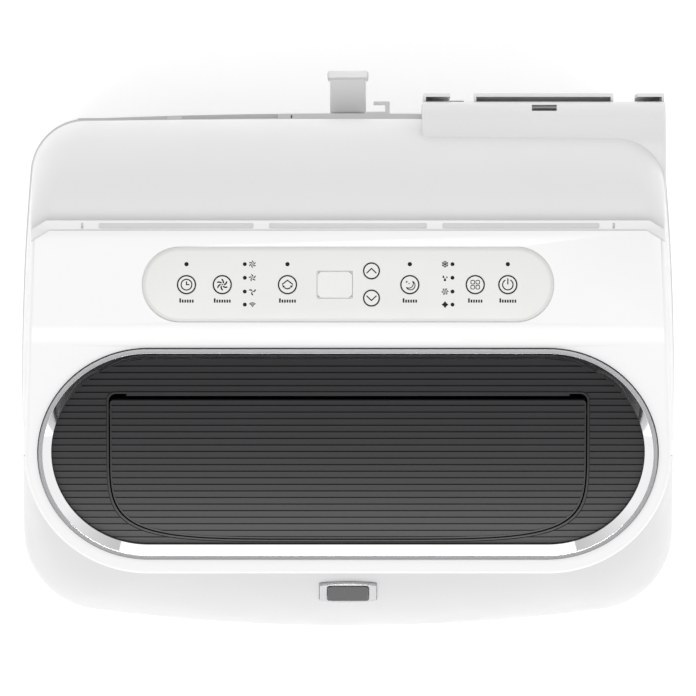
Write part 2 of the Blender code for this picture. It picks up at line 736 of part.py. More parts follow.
def top_cover():
    cover = cover_layer("top_cover", 0, COVER_SKIRT, 0)
    cover.data.materials.append(WHITE_PLASTIC)
    cut(cover, cover_layer("cover_inside", COVER_SKIN, COVER_SKIRT + 20, 2.6))
    ledge = [(-x, y) for x, y in reversed(ledge_edge())] + ledge_edge() + [(190, 90), (-190, 90)]
    cut(cover, prism("ledge_cut", [ledge], TOP_Z - LEDGE_DROP, TOP_Z + 10))
    (low, high), floor = LEDGE_SLOT_Y, TOP_Z - LEDGE_DROP - 1.0
    slots = [((a, low, floor), (b, high, TOP_Z + 2)) for a, b in LEDGE_SLOTS]
    slots += [((x - 0.6, low, floor - 0.6), (x + 0.6, high, TOP_Z + 2)) for x in (-LEDGE_NOTCH_X, LEDGE_NOTCH_X)]
    cut(cover, blocks("ledge_slots", slots))
    hole = [pill(OUTLET_STRAIGHT, RING_OUTER + GAP)]
    cut(cover, prism("outlet_hole", hole, -30, 30, **OUTLET_FRAME))
    recess = [pill(PANEL_HALF - PANEL_RADIUS, PANEL_RADIUS + GAP, centre_y=PANEL_Y)]
    cut(cover, prism("panel_recess", recess, TOP_Z - RECESS, TOP_Z + 5))
    return cover


def receiver_outline(width, height, bulge=1.6, steps=6):
    """A barrel: straight sides, with its top and bottom edges bowed outwards."""
    xs = [2 * i / steps - 1 for i in range(steps + 1)]
    bottom = [(width / 2 * x, -height / 2 + bulge * x**2) for x in xs]
    return bottom + [(-x, -y) for x, y in bottom]


def receiver():
    frame = {"at": receiver_place(), "turn": (RECEIVER_TILT, 0, 0)}
    width, height = RECEIVER_WINDOW
    bezel = prism("receiver_bezel", [receiver_outline(*RECEIVER_SIZE)], GAP - RECEIVER_DEPTH, 1.0, METAL_TRIM, **frame)
    hole = rounded_rectangle(width + 2 * GAP, height + 2 * GAP, 2.0)
    cut(bezel, prism("receiver_hole", [hole], 0.0, 5.0, **frame))
    prism("receiver_window", [rounded_rectangle(width, height, 2.0)], GAP, 1.3, DARK_PLASTIC, **frame)


# ---------------------------------------------------------------- outlet


def pill_ring(name, profile, mat):
    """A closed ring round the pill outline: (offset, height) points of its section, in the tilted plane."""
    rows = [[(x, y, w) for x, y in pill(OUTLET_STRAIGHT, r)] for r, w in profile]
    ring = surface(name, rows, mat, closed_rows=True, closed_columns=True)
    ring.location = Vector(OUTLET_FRAME["at"]) * MM
    ring.rotation_euler = OUTLET_FRAME["turn"]
    return ring


def outlet_ring():
    bottom = BEZEL_TOP + GAP
    profile = [
        (RING_INNER, bottom),
        (RING_OUTER, bottom),
        (RING_OUTER, RING_TOP - 0.5),
        (RING_OUTER - 0.5, RING_TOP),
        (RING_RIM + 0.5, RING_TOP),
        (RING_RIM, RING_TOP - 0.4),
        (RING_INNER, RING_STEP),
    ]
    pill_ring("outlet_ring", profile, CHROME)


def flap_outline(gap=0.0, back_gap=0.0, steps=8):
    """The flap's outline, grown by a gap: square behind, a superellipse in front."""
    half = FLAP_HALF + gap
    depth = FLAP_WAIST - FLAP_FRONT + gap
    front = []
    for i in range(-steps, steps + 1):
        a = math.radians(90 * i / steps)
        x = math.copysign(abs(math.sin(a)) ** (2 / FLAP_POWER), a) * half
        front.append((x, FLAP_WAIST - abs(math.cos(a)) ** (2 / FLAP_POWER) * depth))
    corner = 4.0
    back = FLAP_BACK + back_gap
    return front + [(half, back - corner), (half - corner, back), (corner - half, back), (-half, back - corner)]


def vent_bezel():
    low, high = BEZEL_TOP - BEZEL_THICK, BEZEL_TOP
    outlines = [pill(OUTLET_STRAIGHT, BEZEL_RADIUS), flap_outline(FLAP_GAP, FLAP_BACK_GAP)]
    prism("vent_bezel", outlines, low, high, DARK_PLASTIC, **OUTLET_FRAME)


def outlet_flap():
    """The swing flap: a curved plate with an ear and a hinge pin at each end."""
    flap = prism("outlet_flap", [flap_outline()], BEZEL_TOP - FLAP_THICK, BEZEL_TOP, DARK_PLASTIC, **OUTLET_FRAME)
    v, w = FLAP_PIVOT
    ear = [(v - 6, w), (v - 3, w - 5), (v + 3, w - 5), (v + 6, w), (v + 6, BEZEL_TOP - 1), (v - 6, BEZEL_TOP - 1)]
    for side in (-1, 1):
        x = side * FLAP_EAR_X
        world = [outlet_point(*point) for point in ear]
        join(flap, prism(f"flap_ear_{side}", [world], x - 1.5, x + 1.5, None, turn=SIDE_TURN))
        pin = [(x, *outlet_point(v, w)), (x + side * FLAP_PIN, *outlet_point(v, w))]
        join(flap, rod(f"flap_pin_{side}", *pin, PIN_RADIUS, sides=16))
    return move_origin(flap, (0, *outlet_point(v, w)))


def air_duct():
    """Square duct from the blower's scroll up to the outlet, with the flap's bearings in its end walls."""
    x, wall = DUCT_X, 2.5
    top = BEZEL_TOP - BEZEL_THICK - GAP
    section = [outlet_point(DUCT_V[0], top), outlet_point(DUCT_V[1], top)]
    outer = [section[0], (section[0][0], DUCT_BOTTOM_Z), (section[1][0], DUCT_BOTTOM_Z), section[1]]
    duct = prism("air_duct", [outer], -x, x, GREY_PLASTIC, turn=SIDE_TURN)
    low = (wall - x, section[0][0] + wall, DUCT_BOTTOM_Z + wall)
    high = (x - wall, section[1][0] - wall, TOP_Z + 20)
    cut(duct, block("air_duct_inside", low, high))
    pivot = outlet_point(*FLAP_PIVOT)
    cut(duct, rod("flap_bearing", (-x - 5, *pivot), (x + 5, *pivot), PIN_RADIUS + RUNNING, sides=16))
    y, z = VANE_PLACE
    join(duct, block("vane_carrier", (-x + 1, y - 6, z - 33), (x - 1, y + 6, z - 27)))
    for i, vane_x in enumerate(VANE_XS):
        hole = [(vane_x, y, z - 40), (vane_x, y, z - 20)]
        cut(duct, rod(f"vane_bearing_{i}", *hole, SPINDLE_RADIUS + RUNNING, sides=8))
    low, high = EVAPORATOR_NECK
    fan_y = EVAPORATOR_FAN[1]
    inlet = ((low, fan_y - 26, DUCT_BOTTOM_Z - 5), (high, fan_y + 26, DUCT_BOTTOM_Z + 10))
    return cut(duct, block("duct_inlet", *inlet))


def vanes():
    """Vertical vanes under the flap, each on its own upright spindle, and the bar that ties them."""
    y, z = VANE_PLACE
    pin_y = y - VANE_ARM
    for i, x in enumerate(VANE_XS):
        outline = [(-1.0, -VANE_ARM - 2), (1.0, -VANE_ARM - 2), (1.0, 18.0), (-1.0, 18.0)]
        vane = prism(f"air_vane_{i + 1}", [outline], -24, 24, DARK_PLASTIC, (x, y, z))
        join(vane, rod(f"vane_spindle_{i}", (x, y, z - 32), (x, y, z + 4), SPINDLE_RADIUS, sides=8))
        join(vane, rod(f"vane_pin_{i}", (x, pin_y, z + 22), (x, pin_y, z + 30), 1.5, sides=8))
    half = VANE_XS[-1] + 6
    bar = block("vane_tie_bar", (-half, pin_y - 4.5, z + 25.5), (half, pin_y + 7.5, z + 28), DARK_PLASTIC)
    slots = [((x - 2.1, pin_y - 2.1, z + 20), (x + 2.1, pin_y + 5.3, z + 32)) for x in VANE_XS]
    cut(bar, blocks("vane_tie_slots", slots))


def flap_motor():
    """Geared stepper with its shaft socket above its centre, on the duct's right wall."""
    v, w = FLAP_PIVOT
    start = DUCT_X + GAP
    centre, socket = outlet_point(v, w - 8), outlet_point(v, w)
    motor = rod("flap_motor", (start, *centre), (start + 16, *centre), 12, GALVANIZED, sides=16)
    cut(motor, rod("flap_motor_socket", (start - 5, *socket), (start + 9, *socket), PIN_RADIUS + RUNNING, sides=16))


# ---------------------------------------------------------------- control panel


def control_panel():
    low, high = PANEL_TOP_Z - PANEL_THICK, PANEL_TOP_Z
    outlines = [pill(PANEL_HALF - PANEL_RADIUS, PANEL_RADIUS, centre_y=PANEL_Y)]
    panel = prism("control_panel", outlines, low, high, PANEL_GREY)
    for name, (x, y, radius) in BUTTONS.items():
        cut(panel, rod(name + "_hole", (x, y, low - 5), (x, y, high + 5), radius + BUTTON_GAP, sides=24))
    x, y, width, height = DISPLAY
    hole = rounded_rectangle(width + 2 * GAP, height + 2 * GAP, 1.5, centre=(x, y))
    cut(panel, prism("display_hole", [hole], low - 5, high + 5))
    prism("display_window", [rounded_rectangle(width, height, 1.2, centre=(x, y))], low, high, DISPLAY_GLASS)
    for name, (x, y, radius) in BUTTONS.items():
        bottom = PANEL_TOP_Z - BUTTON_HEIGHT + BUTTON_PROUD
        rod(name, (x, y, bottom), (x, y, PANEL_TOP_Z + BUTTON_PROUD), radius, BUTTON_GREY, sides=24)


# ---------------------------------------------------------------- grilles, filters and back fittings


def slotted_panel(name, size, thick, mat, slot_count, columns):
    """A flat panel in the XZ plane with rows of slots, its centre at the origin."""
    width, height = size
    panel = block(name, (-width / 2, -thick / 2, -height / 2), (width / 2, thick / 2, height / 2), mat)
    margin, bar = 7.0, 5.0
    slot_width = (width - 2 * margin - bar * (columns - 1)) / columns
    pitch = (height - 2 * margin) / slot_count
    slots = []
    for row in range(slot_count):
        z = -height / 2 + margin + pitch * (row + 0.5)
        for column in range(columns):
            x = -width / 2 + margin + column * (slot_width + bar)
            slots.append(((x, -thick, z - pitch * 0.3), (x + slot_width, thick, z + pitch * 0.3)))
    cutter = blocks(name + "_slots", slots)
    cutter.parent = panel
    return cut(panel, cutter)


def grilles():
    (x0, x1), (z0, z1) = REAR_GRILLE_X, REAR_GRILLE_Z
    size = (x1 - x0 - 2 * GAP, z1 - z0 - 2 * GAP)
    rear = slotted_panel("rear_grille", size, GRILLE_THICK, WHITE_PLASTIC_2, 9, 2)
    rear.location = Vector(((x0 + x1) / 2, GRILLE_BACK_Y - GRILLE_THICK / 2, (z0 + z1) / 2)) * MM
    filter_frame("rear_filter", (x0 + 4, GRILLE_BACK_Y - 9, z0 + 4), (x1 - 4, GRILLE_BACK_Y - 5, z1 - 4))

    (y0, y1), (z0, z1) = SIDE_GRILLE_Y, SIDE_GRILLE_Z
    size = (y1 - y0 - 2 * GAP, z1 - z0 - 2 * GAP)
    side = slotted_panel("side_grille", size, GRILLE_THICK, WHITE_PLASTIC_2, 9, 2)
    front_x, back_x = side_x(y0), side_x(y1)
    slant = math.atan2(front_x - back_x, y1 - y0)
    side.rotation_euler = (0, 0, -math.pi / 2 - slant)
    middle_x = GRILLE_THICK / 2 - (front_x + back_x) / 2
    side.location = Vector((middle_x, (y0 + y1) / 2, (z0 + z1) / 2)) * MM
    filter_frame("side_filter", (SIDE_FILTER_X, y0 + 4, z0 + 4), (SIDE_FILTER_X + 4, y1 - 4, z1 - 4))


def filter_frame(name, low, high):
    """A washable filter: a slim frame that its mesh fills."""
    return block(name, low, high, FILTER_MESH)


def cord_hook(name, z, side):
    """A post with a wide tongue that points up (side 1) or down (side -1); the cord winds round the pair."""
    front = HOOK_BACK_Y - HOOK_TONGUE
    post = block(name, (-9.8, HOOK_ROOT_Y, z - 6), (9.8, front + 0.5, z + 6), WHITE_PLASTIC_2, bevel=0.8)
    low, high = (z - 6, z + 24) if side > 0 else (z - 24, z + 6)
    return join(post, block(name + "_tongue", (-11.2, front, low), (11.2, HOOK_BACK_Y, high), bevel=0.8))


def back_y(x):
    """Where the cabinet's flat back lies, with the gap of a fitting that rests on it."""
    bulge = 1 - (x / REAR_CORNER[0]) ** 2
    return REAR_CORNER[1] + REAR_CORNER_RADIUS + REAR_CROWN * bulge + GAP


def back_fittings():
    cord_hook("upper_cord_hook", 520, 1)
    cord_hook("lower_cord_hook", 380, -1)
    y = back_y(23)
    clip = block("cord_clip", (10.0, y, 334), (23.0, y + 2.4, 350), WHITE_PLASTIC_2)
    join(clip, block("cord_clip_arm", (20.4, y + 1.0, 334), (23.0, y + 8.0, 350)))
    join(clip, block("cord_clip_lip", (14.0, y + 6.0, 334), (23.0, y + 8.0, 350)))
    x, z = CORD_GLAND
    profile = [(0, 11), (4.5, 11), (7, 9), (7, 3), (10, 3), (10, 0), (0, 0)]
    gland = turned("cord_gland", profile, RUBBER, (x, back_y(x), z), "Y", 16)
    cut(gland, rod("cord_gland_bore", (x, back_y(x) + 3, z), (x, back_y(x) + 20, z), 3.2, sides=12))
    for name, (x, z) in DRAINS.items():
        profile = [(0, 7), (5, 7), (5, 3), (9.3, 3), (9.3, 0), (6, 0), (6, -3.4), (0, -3.4)]
        turned(name, profile, RUBBER, (x, back_y(x), z), "Y", 16)


# ---------------------------------------------------------------- air and cold inside

FRONT_TURN = (math.pi / 2, 0, 0)  # stands an outline up: its x stays on X, its y runs along Z


def coil(name, low, high):
    """A finned heat exchanger: its fin pack, with the return bends of its tubes at both ends."""
    pack = block(name, low, high, ALUMINIUM)
    rows = 5
    y = (low[1] + high[1]) / 2
    for side, x in ((-1, low[0]), (1, high[0])):
        for i in range(rows):
            z = low[2] + (high[2] - low[2]) * (i + 0.5) / rows
            join(pack, block(f"{name}_bend_{side}_{i}", (x - 5, y - 4, z - 12), (x + 5, y + 4, z + 12)))
    return pack


def scroll_outline(centre, radius, neck, top, steps=16):
    """A blower's casing seen from the front: a spiral whose widest part opens into an upright neck."""
    cx, cz = centre
    spiral = []
    for i in range(steps + 1):
        a = math.radians(0 - 240 * i / steps)
        r = radius + (neck[1] - cx - radius) * (1 - i / steps)
        spiral.append((cx + r * math.cos(a), cz + r * math.sin(a)))
    return [(neck[1], top), *spiral, (neck[0], top)]


def blower(prefix, centre, radius, width, neck, top):
    """A casing, the wheel inside it and the motor in front of it, all on one axis along Y."""
    x, y, z = centre
    half = width / 2 + 6
    casing_front = y - half
    outer = scroll_outline((x, z), radius + 7, neck, top)
    inner = scroll_outline((x, z), radius + 5, (neck[0] + 2, neck[1] - 2), top + 20)
    casing = prism(prefix + "_scroll", [outer], -half, half, GREY_PLASTIC, (0, y, 0), FRONT_TURN)
    cut(casing, prism(prefix + "_scroll_inside", [inner], 2 - half, half - 2, None, (0, y, 0), FRONT_TURN))
    cut(casing, rod(prefix + "_inlet", (x, y, z), (x, y + half + 5, z), radius * 0.75, sides=24))
    cut(casing, rod(prefix + "_shaft_hole", (x, y, z), (x, y - half - 5, z), 9, sides=12))

    disc_profile = [(radius, 2), (radius, 0), (SHAFT_RADIUS + RUNNING, 0), (SHAFT_RADIUS + RUNNING, 2)]
    wheel = turned(prefix + "_blower", disc_profile, GREY_PLASTIC, (x, y - width / 2, z), "Y", 24)
    rim_profile = [(radius, 2), (radius, 0), (radius - 10, 0), (radius - 10, 2)]
    join(wheel, turned(prefix + "_rim", rim_profile, None, (x, y + width / 2 - 2, z), "Y", 24))
    join(wheel, blower_blades(prefix + "_blades", centre, radius, width))

    back = casing_front - GAP
    motor = rod(prefix + "_motor", (x, back - MOTOR_LENGTH, z), (x, back, z), MOTOR_RADIUS, GALVANIZED, sides=20)
    shaft_end = y - width / 2 + 10
    join(motor, rod(prefix + "_shaft", (x, back - 5, z), (x, shaft_end, z), SHAFT_RADIUS, sides=12))


def blower_blades(name, centre, radius, width):
    bm = bmesh.new()
    reach = radius - 5.5
    for i in range(BLADES):
        a = 2 * math.pi * i / BLADES
        made = bmesh.ops.create_cube(bm, size=1.0)["verts"]
        bmesh.ops.scale(bm, vec=(8 * MM, (width - 2) * MM, 1.8 * MM), verts=made)
        tilt = Euler((0, -a - BLADE_PITCH, 0)).to_matrix()
        bmesh.ops.rotate(bm, matrix=tilt, verts=made)
        bmesh.ops.translate(bm, vec=(reach * math.cos(a) * MM, 0, reach * math.sin(a) * MM), verts=made)
    return place(name, finish_mesh(name, bm), None, centre)


def exhaust_duct():
    """Square duct from the condenser's blower up to the hose housing, with guard bars in its mouth."""
    x0, x1, y0, y1 = EXHAUST_BOX
    wall = 2.0
    low_z, high_z = DECK_Z - 3, HOUSING_Z[1] - 8
    duct = block("exhaust_duct", (x0, y0, low_z), (x1, y1, high_z), GREY_PLASTIC)
    inside = ((x0 + wall, y0 + wall, low_z - 10), (x1 - wall, y1 - wall, high_z - wall))
    cut(duct, block("exhaust_duct_inside", *inside))
    pitch = (HOSE_HOLE_Z[1] - HOSE_HOLE_Z[0]) / GUARD_SLOTS
    slots = []
    for i in range(GUARD_SLOTS):
        z = HOSE_HOLE_Z[0] + pitch * i + 2.0
        slots.append(((x0 + 6, y1 - 10, z), (x1 - 6, y1 + 10, z + pitch - 4.0)))
    return cut(duct, blocks("exhaust_guard_slots", slots))


def compressor():
    x, y = COMPRESSOR
    profile = [(0, 290), (30, 286), (46, 270), (50, 250), (50, 130), (45, 110), (0, 104)]
    body = turned("compressor", profile, BLACK_PAINT, (x, y, 0), "Z", 24)
    join(body, rod("compressor_plate", (x, y, 100), (x, y, 108), 56, sides=3))
    for i in range(3):
        a = math.radians(30 + 120 * i)
        foot = (x + 44 * math.cos(a), y + 44 * math.sin(a))
        join(body, rod(f"compressor_foot_{i}", (*foot, PAN_FLOOR_Z + GAP), (*foot, 104), 9, sides=12))
    return body


def splash_wheel():
    """Disc that throws condensate from the pan on to the condenser, and its motor on a bracket."""
    x, y, z = SPLASH_WHEEL
    outer = SPLASH_RADIUS
    profile = [(outer, 5), (outer, 0), (SHAFT_RADIUS + RUNNING, 0), (SHAFT_RADIUS + RUNNING, 5)]
    wheel = turned("splash_wheel", profile, GREY_PLASTIC, (x, y, z), "Y", 20)
    notches = []
    for i in range(8):
        a = 2 * math.pi * i / 8
        cx, cz = x + outer * math.cos(a), z + outer * math.sin(a)
        notches.append(((cx - 3, y - 5, cz - 3), (cx + 3, y + 10, cz + 3)))
    cut(wheel, blocks("splash_notches", notches))
    motor = rod("splash_motor", (x, y - 36, z), (x, y - 4, z), 18, GALVANIZED, sides=16)
    join(motor, rod("splash_shaft", (x, y - 10, z), (x, y + 7, z), SHAFT_RADIUS, sides=12))
    join(motor, block("splash_bracket", (x - 14, y - 28, PAN_FLOOR_Z + GAP), (x + 14, y - 12, z - 8)))


def suction_pipe():
    x, y = COMPRESSOR
    up_x, up_y = PIPE_HOLE
    path = [(x, y + 30, 286.6), (x, y + 30, 304), (x, up_y, 304), (up_x, up_y, 304), (up_x, up_y, 380)]
    return tube("suction_pipe", [*path, (up_x, COIL_FRONT_Y - GAP, 380)], PIPE_RADIUS, COPPER, 1)


def partition_deck():
    deck = prism("partition_deck", [lower_outline(WALL + 1.2)], DECK_Z, DECK_Z + 14, GREY_PLASTIC)
    cut(deck, prism("deck_tray", [lower_outline(WALL + 4.2)], DECK_Z + 3, DECK_Z + 20))
    x0, x1, y0, y1 = EXHAUST_BOX
    hole = ((x0 - 1, y0 - 1, DECK_Z - 5), (x1 + 1, y1 + 1, DECK_Z + 30))
    cut(deck, block("deck_exhaust_hole", *hole))
    pipe_hole = [(*PIPE_HOLE, DECK_Z - 5), (*PIPE_HOLE, DECK_Z + 30)]
    return cut(deck, rod("deck_pipe_hole", *pipe_hole, PIPE_RADIUS + 1, sides=12))


# ---------------------------------------------------------------- base


def base_pan():
    """Drip tray that carries everything, with sockets for the casters and a guide post for the float."""
    pan = prism("base_pan", [lower_outline(WALL + 0.8)], PAN_BOTTOM_Z, PAN_TOP_Z, GREY_PLASTIC)
    cut(pan, prism("pan_tray", [lower_outline(WALL + 3.8)], PAN_FLOOR_Z, PAN_TOP_Z + 20))
    for name, (x, y) in CASTERS.items():
        join(pan, rod(f"socket_{name}", (x, y, PAN_BOTTOM_Z), (x, y, PAN_BOTTOM_Z + 24), 9, sides=12))
        hole = [(x, y, PAN_BOTTOM_Z - 5), (x, y, PAN_BOTTOM_Z + 20)]
        cut(pan, rod(f"socket_hole_{name}", *hole, STEM_RADIUS + RUNNING, sides=12))
    x, y = FLOAT
    join(pan, rod("float_guide", (x, y, PAN_FLOOR_Z - 2), (x, y, PAN_TOP_Z + 6), 3.0, sides=12))
    return pan


def float_switch():
    x, y = FLOAT
    profile = [(14, 12), (14, 0), (3.6, 0), (3.6, 12)]
    return turned("tank_float", profile, WHITE_PLASTIC_2, (x, y, PAN_FLOOR_Z + GAP), "Z", 16)


def caster(name, x, y):
    """A fork that swivels on its stem, and a wheel on an axle behind the stem."""
    axle_y = y + CASTER_TRAIL
    fork = rod(f"caster_fork_{name}", (x, y, CASTER_TOP_Z - 4), (x, y, CASTER_TOP_Z), 15, GREY_PLASTIC, sides=20)
    join(fork, rod(f"caster_stem_{name}", (x, y, CASTER_TOP_Z - 2), (x, y, PAN_BOTTOM_Z + 18), STEM_RADIUS, sides=12))
    inner = WHEEL_WIDTH / 2 + RUNNING + 0.4
    for side in (-1, 1):
        xs = sorted((x + side * inner, x + side * (inner + 2.5)))
        outline = [(y - 9, CASTER_TOP_Z - 1), (axle_y - 5, WHEEL_RADIUS - 4), (axle_y + 5, WHEEL_RADIUS - 4)]
        outline.append((y + 11, CASTER_TOP_Z - 1))
        join(fork, prism(f"caster_cheek_{name}_{side}", [outline], *xs, None, turn=SIDE_TURN))
    axle = [(x - inner - 1, axle_y, WHEEL_RADIUS), (x + inner + 1, axle_y, WHEEL_RADIUS)]
    join(fork, rod(f"caster_axle_{name}", *axle, AXLE_RADIUS, sides=12))
    half_step = math.pi / WHEEL_SIDES
    tread = WHEEL_RADIUS / math.cos(half_step)  # so that a flat of the tread rests on the floor
    profile = [(tread, 10), (tread, 3), (tread - 2, 0), (AXLE_RADIUS + RUNNING, 0)]
    profile += [(AXLE_RADIUS + RUNNING, WHEEL_WIDTH), (tread - 2, WHEEL_WIDTH)]
    at = (x - WHEEL_WIDTH / 2, axle_y, WHEEL_RADIUS)
    wheel = turned(f"caster_wheel_{name}", profile, RUBBER, at, "X", WHEEL_SIDES, half_step)
    wheel.data.shade_smooth()
    move_origin(fork, (x, y, CASTER_TOP_Z))


# ---------------------------------------------------------------- assembly

clear_scene()
PARTS = collection("portable_air_conditioner")
TOOLS = collection("cutters")

WHITE_PLASTIC = material("white_plastic", WHITE, 0.35)
WHITE_PLASTIC_2 = material("white_trim_plastic", (0.86, 0.86, 0.86), 0.4)
DARK_PLASTIC = material("dark_plastic", DARK, 0.45)
GREY_PLASTIC = material("grey_plastic", (0.32, 0.32, 0.33), 0.5)
PANEL_GREY = material("panel_grey", (0.84, 0.84, 0.82), 0.4)
BUTTON_GREY = material("button_grey", (0.84, 0.84, 0.82), 0.35)
DISPLAY_GLASS = material("display_glass", (0.80, 0.80, 0.79), 0.1)
CHROME = material("chrome", (0.85, 0.85, 0.85), 0.08, 1.0)
METAL_TRIM = material("metal_trim", (0.62, 0.62, 0.63), 0.3, 1.0)
FILTER_MESH = material("filter_mesh", (0.10, 0.10, 0.11), 0.8)
ALUMINIUM = material("aluminium", (0.78, 0.79, 0.80), 0.3, 1.0)
COPPER = material("copper", (0.72, 0.40, 0.25), 0.3, 1.0)
GALVANIZED = material("galvanized", (0.60, 0.61, 0.62), 0.4, 1.0)
BLACK_PAINT = material("black_paint", (0.03, 0.03, 0.03), 0.4)
RUBBER = material("rubber", (0.05, 0.05, 0.05), 0.7)

front_panel()
rear_shell()
top_cover()
receiver()
outlet_ring()
vent_bezel()
outlet_flap()
air_duct()
vanes()
flap_motor()
control_panel()
grilles()
back_fittings()
partition_deck()
coil("evaporator_coil", *EVAPORATOR_COIL)
coil("condenser_coil", *CONDENSER_COIL)
blower("evaporator", EVAPORATOR_FAN, 66, 52, EVAPORATOR_NECK, DUCT_BOTTOM_Z - GAP)
blower("condenser", CONDENSER_FAN, 56, 42, CONDENSER_NECK, DECK_Z - 3 - GAP)
exhaust_duct()
compressor()
splash_wheel()
suction_pipe()
block("control_box", *CONTROL_BOX, GALVANIZED, bevel=2.0)
base_pan()
float_switch()
for caster_name, caster_place in CASTERS.items():
    caster(caster_name, *caster_place)
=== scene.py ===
"""Looks of the portable air conditioner: fine meshes, materials, studio light and the camera."""

import math

import bmesh
import bpy
from mathutils import Matrix, Vector


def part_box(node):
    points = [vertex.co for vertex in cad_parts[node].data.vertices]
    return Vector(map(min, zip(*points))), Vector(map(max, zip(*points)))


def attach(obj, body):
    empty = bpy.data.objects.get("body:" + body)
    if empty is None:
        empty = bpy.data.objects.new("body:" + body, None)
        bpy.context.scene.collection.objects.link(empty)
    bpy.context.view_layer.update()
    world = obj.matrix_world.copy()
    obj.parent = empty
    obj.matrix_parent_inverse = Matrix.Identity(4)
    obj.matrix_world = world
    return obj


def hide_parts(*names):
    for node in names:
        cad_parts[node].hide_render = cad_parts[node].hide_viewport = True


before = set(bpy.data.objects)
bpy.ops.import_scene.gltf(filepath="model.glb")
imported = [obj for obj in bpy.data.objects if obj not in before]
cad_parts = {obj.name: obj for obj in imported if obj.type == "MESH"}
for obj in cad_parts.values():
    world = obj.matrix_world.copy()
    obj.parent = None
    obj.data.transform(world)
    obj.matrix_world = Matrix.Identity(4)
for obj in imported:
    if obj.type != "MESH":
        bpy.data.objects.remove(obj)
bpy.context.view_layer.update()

MM = 0.001
ROOT = "cabinet"
GAP = 0.4

# -------------------------------- sizes, in millimetres, from the frame


def box_mm(node):
    low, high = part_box(node)
    return Vector(low) / MM, Vector(high) / MM


cover_low, cover_high = box_mm("top_cover")
panel_low, panel_high = box_mm("control_panel")
front_low, front_high = box_mm("front_panel")
rear_high = box_mm("rear_shell")[1]

TOP_Z = cover_high.z
COVER_BACK_Y = cover_high.y
COVER_FRONT_Y = cover_low.y
COVER_END_X = cover_high.x
PANEL_TOP_Z = panel_high.z
PANEL_Y = (panel_low.y + panel_high.y) / 2
PANEL_HALF = panel_high.x
PANEL_RADIUS = (panel_high.y - panel_low.y) / 2
FRONT_Y = front_low.y
SHELL_BOTTOM_Z = front_low.z
SEAM_Y = front_high.y + GAP / 2
HALF_WIDTH = rear_high.x


# -------------------------------- design values shared with the CAD part

WALL = 2.4
TILT = math.radians(17)
BEND_BACK_Y = 12.0
BEND_FRONT_Y = 2.0
COVER_SKIRT = 11.0
COVER_SKIN = 4.0
COVER_SPACE_Y = (-140.0, 90.0)  # a space with room for the whole cover
COVER_SPACE_Z = (560.0, 760.0)
COVER_EAR = (170.1, 63.5)
COVER_CHAMFER_X = 162.0
LEDGE_WIDTH = 5.5
LEDGE_DROP = 2.0
LEDGE_CORNER_X = 160.4
LEDGE_END = (176.0, 53.4)
LEDGE_SLOTS = ((-133.9, -50.7), (-42.4, 42.4), (50.7, 135.0))
LEDGE_SLOT_Y = (64.2, 67.2)
LEDGE_NOTCH_X = 142.7
PANEL_RECESS = 2.6

OUTLET_Y = -56.9
OUTLET_STRAIGHT = 107.5
OUTLET_Z = TOP_Z - math.tan(TILT) * ((BEND_BACK_Y + BEND_FRONT_Y) / 2 - OUTLET_Y)
RING_OUTER = 59.2
RING_RIM = 56.6
RING_INNER = 51.7
RING_TOP = 1.3
RING_STEP = -3.1
BEZEL_TOP = -4.8
BEZEL_THICK = 2.4
BEZEL_RADIUS = 61.5
BEZEL_LIP = 0.5
BEZEL_REACH = 0.3  # how far the lip narrows the gap round the flap
BEZEL_GROOVE = 0.45
BEZEL_GROOVE_DEPTH = 1.4
BEZEL_RIDGE = (119.0, 3.4)  # half length, and how far behind the flap's back edge
RIB_PITCH = 3.7
GROOVE_DEPTH = 1.1

FLAP_HALF = 127.9
FLAP_BACK = 28.5
FLAP_FRONT = -49.2
FLAP_POWER = 5.2
FLAP_WAIST = 10.5
FLAP_GAP = 1.1
FLAP_BORDER = 0.7
FLAP_CORNER = 1.6
FLAP_BACK_GAP = 4.1
FLAP_THICK = 3.0
FLAP_PIVOT = (20.0, -13.0)
FLAP_EAR_X = 122.0
FLAP_PIN = 14.0
PIN_RADIUS = 2.5

FRONT_ROLL_Z = 560.0
ROLL_START = math.radians(20)
CROWN_ANGLE = math.radians(7.5)
CROWN_RADIUS = 1056.0
CORNER_RADIUS = 43.4
FRONT_CORNER_X = (CROWN_RADIUS - CORNER_RADIUS) * math.sin(CROWN_ANGLE)
FRONT_CORNER_Y = FRONT_Y + CROWN_RADIUS - (CROWN_RADIUS - CORNER_RADIUS) * math.cos(CROWN_ANGLE)

SHELF_Z = 558.0
SHOULDER_Z = 590.0
REAR_CORNER_RADIUS = 30.0
REAR_CROWN = 2.9
UPPER_CROWN = 1.2
SHELF_WIDTH = (0.3, 1.6)
WIDEST_Y = -12.0
SIDE_CROWN = 4.6
SIDE_END_Y = 96.8
SIDE_SLOPE = math.atan(2 * SIDE_CROWN / (SIDE_END_Y - WIDEST_Y))

RECEIVER_Y = -131.5
RECEIVER_TILT = math.radians(58.6)
RECEIVER_SIZE = (30.6, 19.4)
RECEIVER_WINDOW = (21.8, 14.8)
RECEIVER_DEPTH = 1.2

HOUSING_X = (40.0, 171.5)
HOUSING_Y = (60.0, 133.0)
HOUSING_Z = (455.0, 640.0)
HOUSING_ROUND = 24.0
HOSE_HOLE_X = (57.0, 154.5)
HOSE_HOLE_Y = (120.0, 140.0)
HOSE_HOLE_Z = (476.0, 596.0)
RAIL_BACK_Y = 137.6
RAIL_Z = (462.0, 614.0)
CATCH_X = (67.9, 143.2)
CATCH_Z = (600.0, 614.0)
LATCH_X = (99.2, 112.6)
LATCH_Y = (127.9, 131.2)
GRIP_Y = (-35.0, 42.0)
GRIP_Z = (600.0, 632.0)
GRIP_DEPTH_X = 148.4
GRIP_CUP_X = 173.6

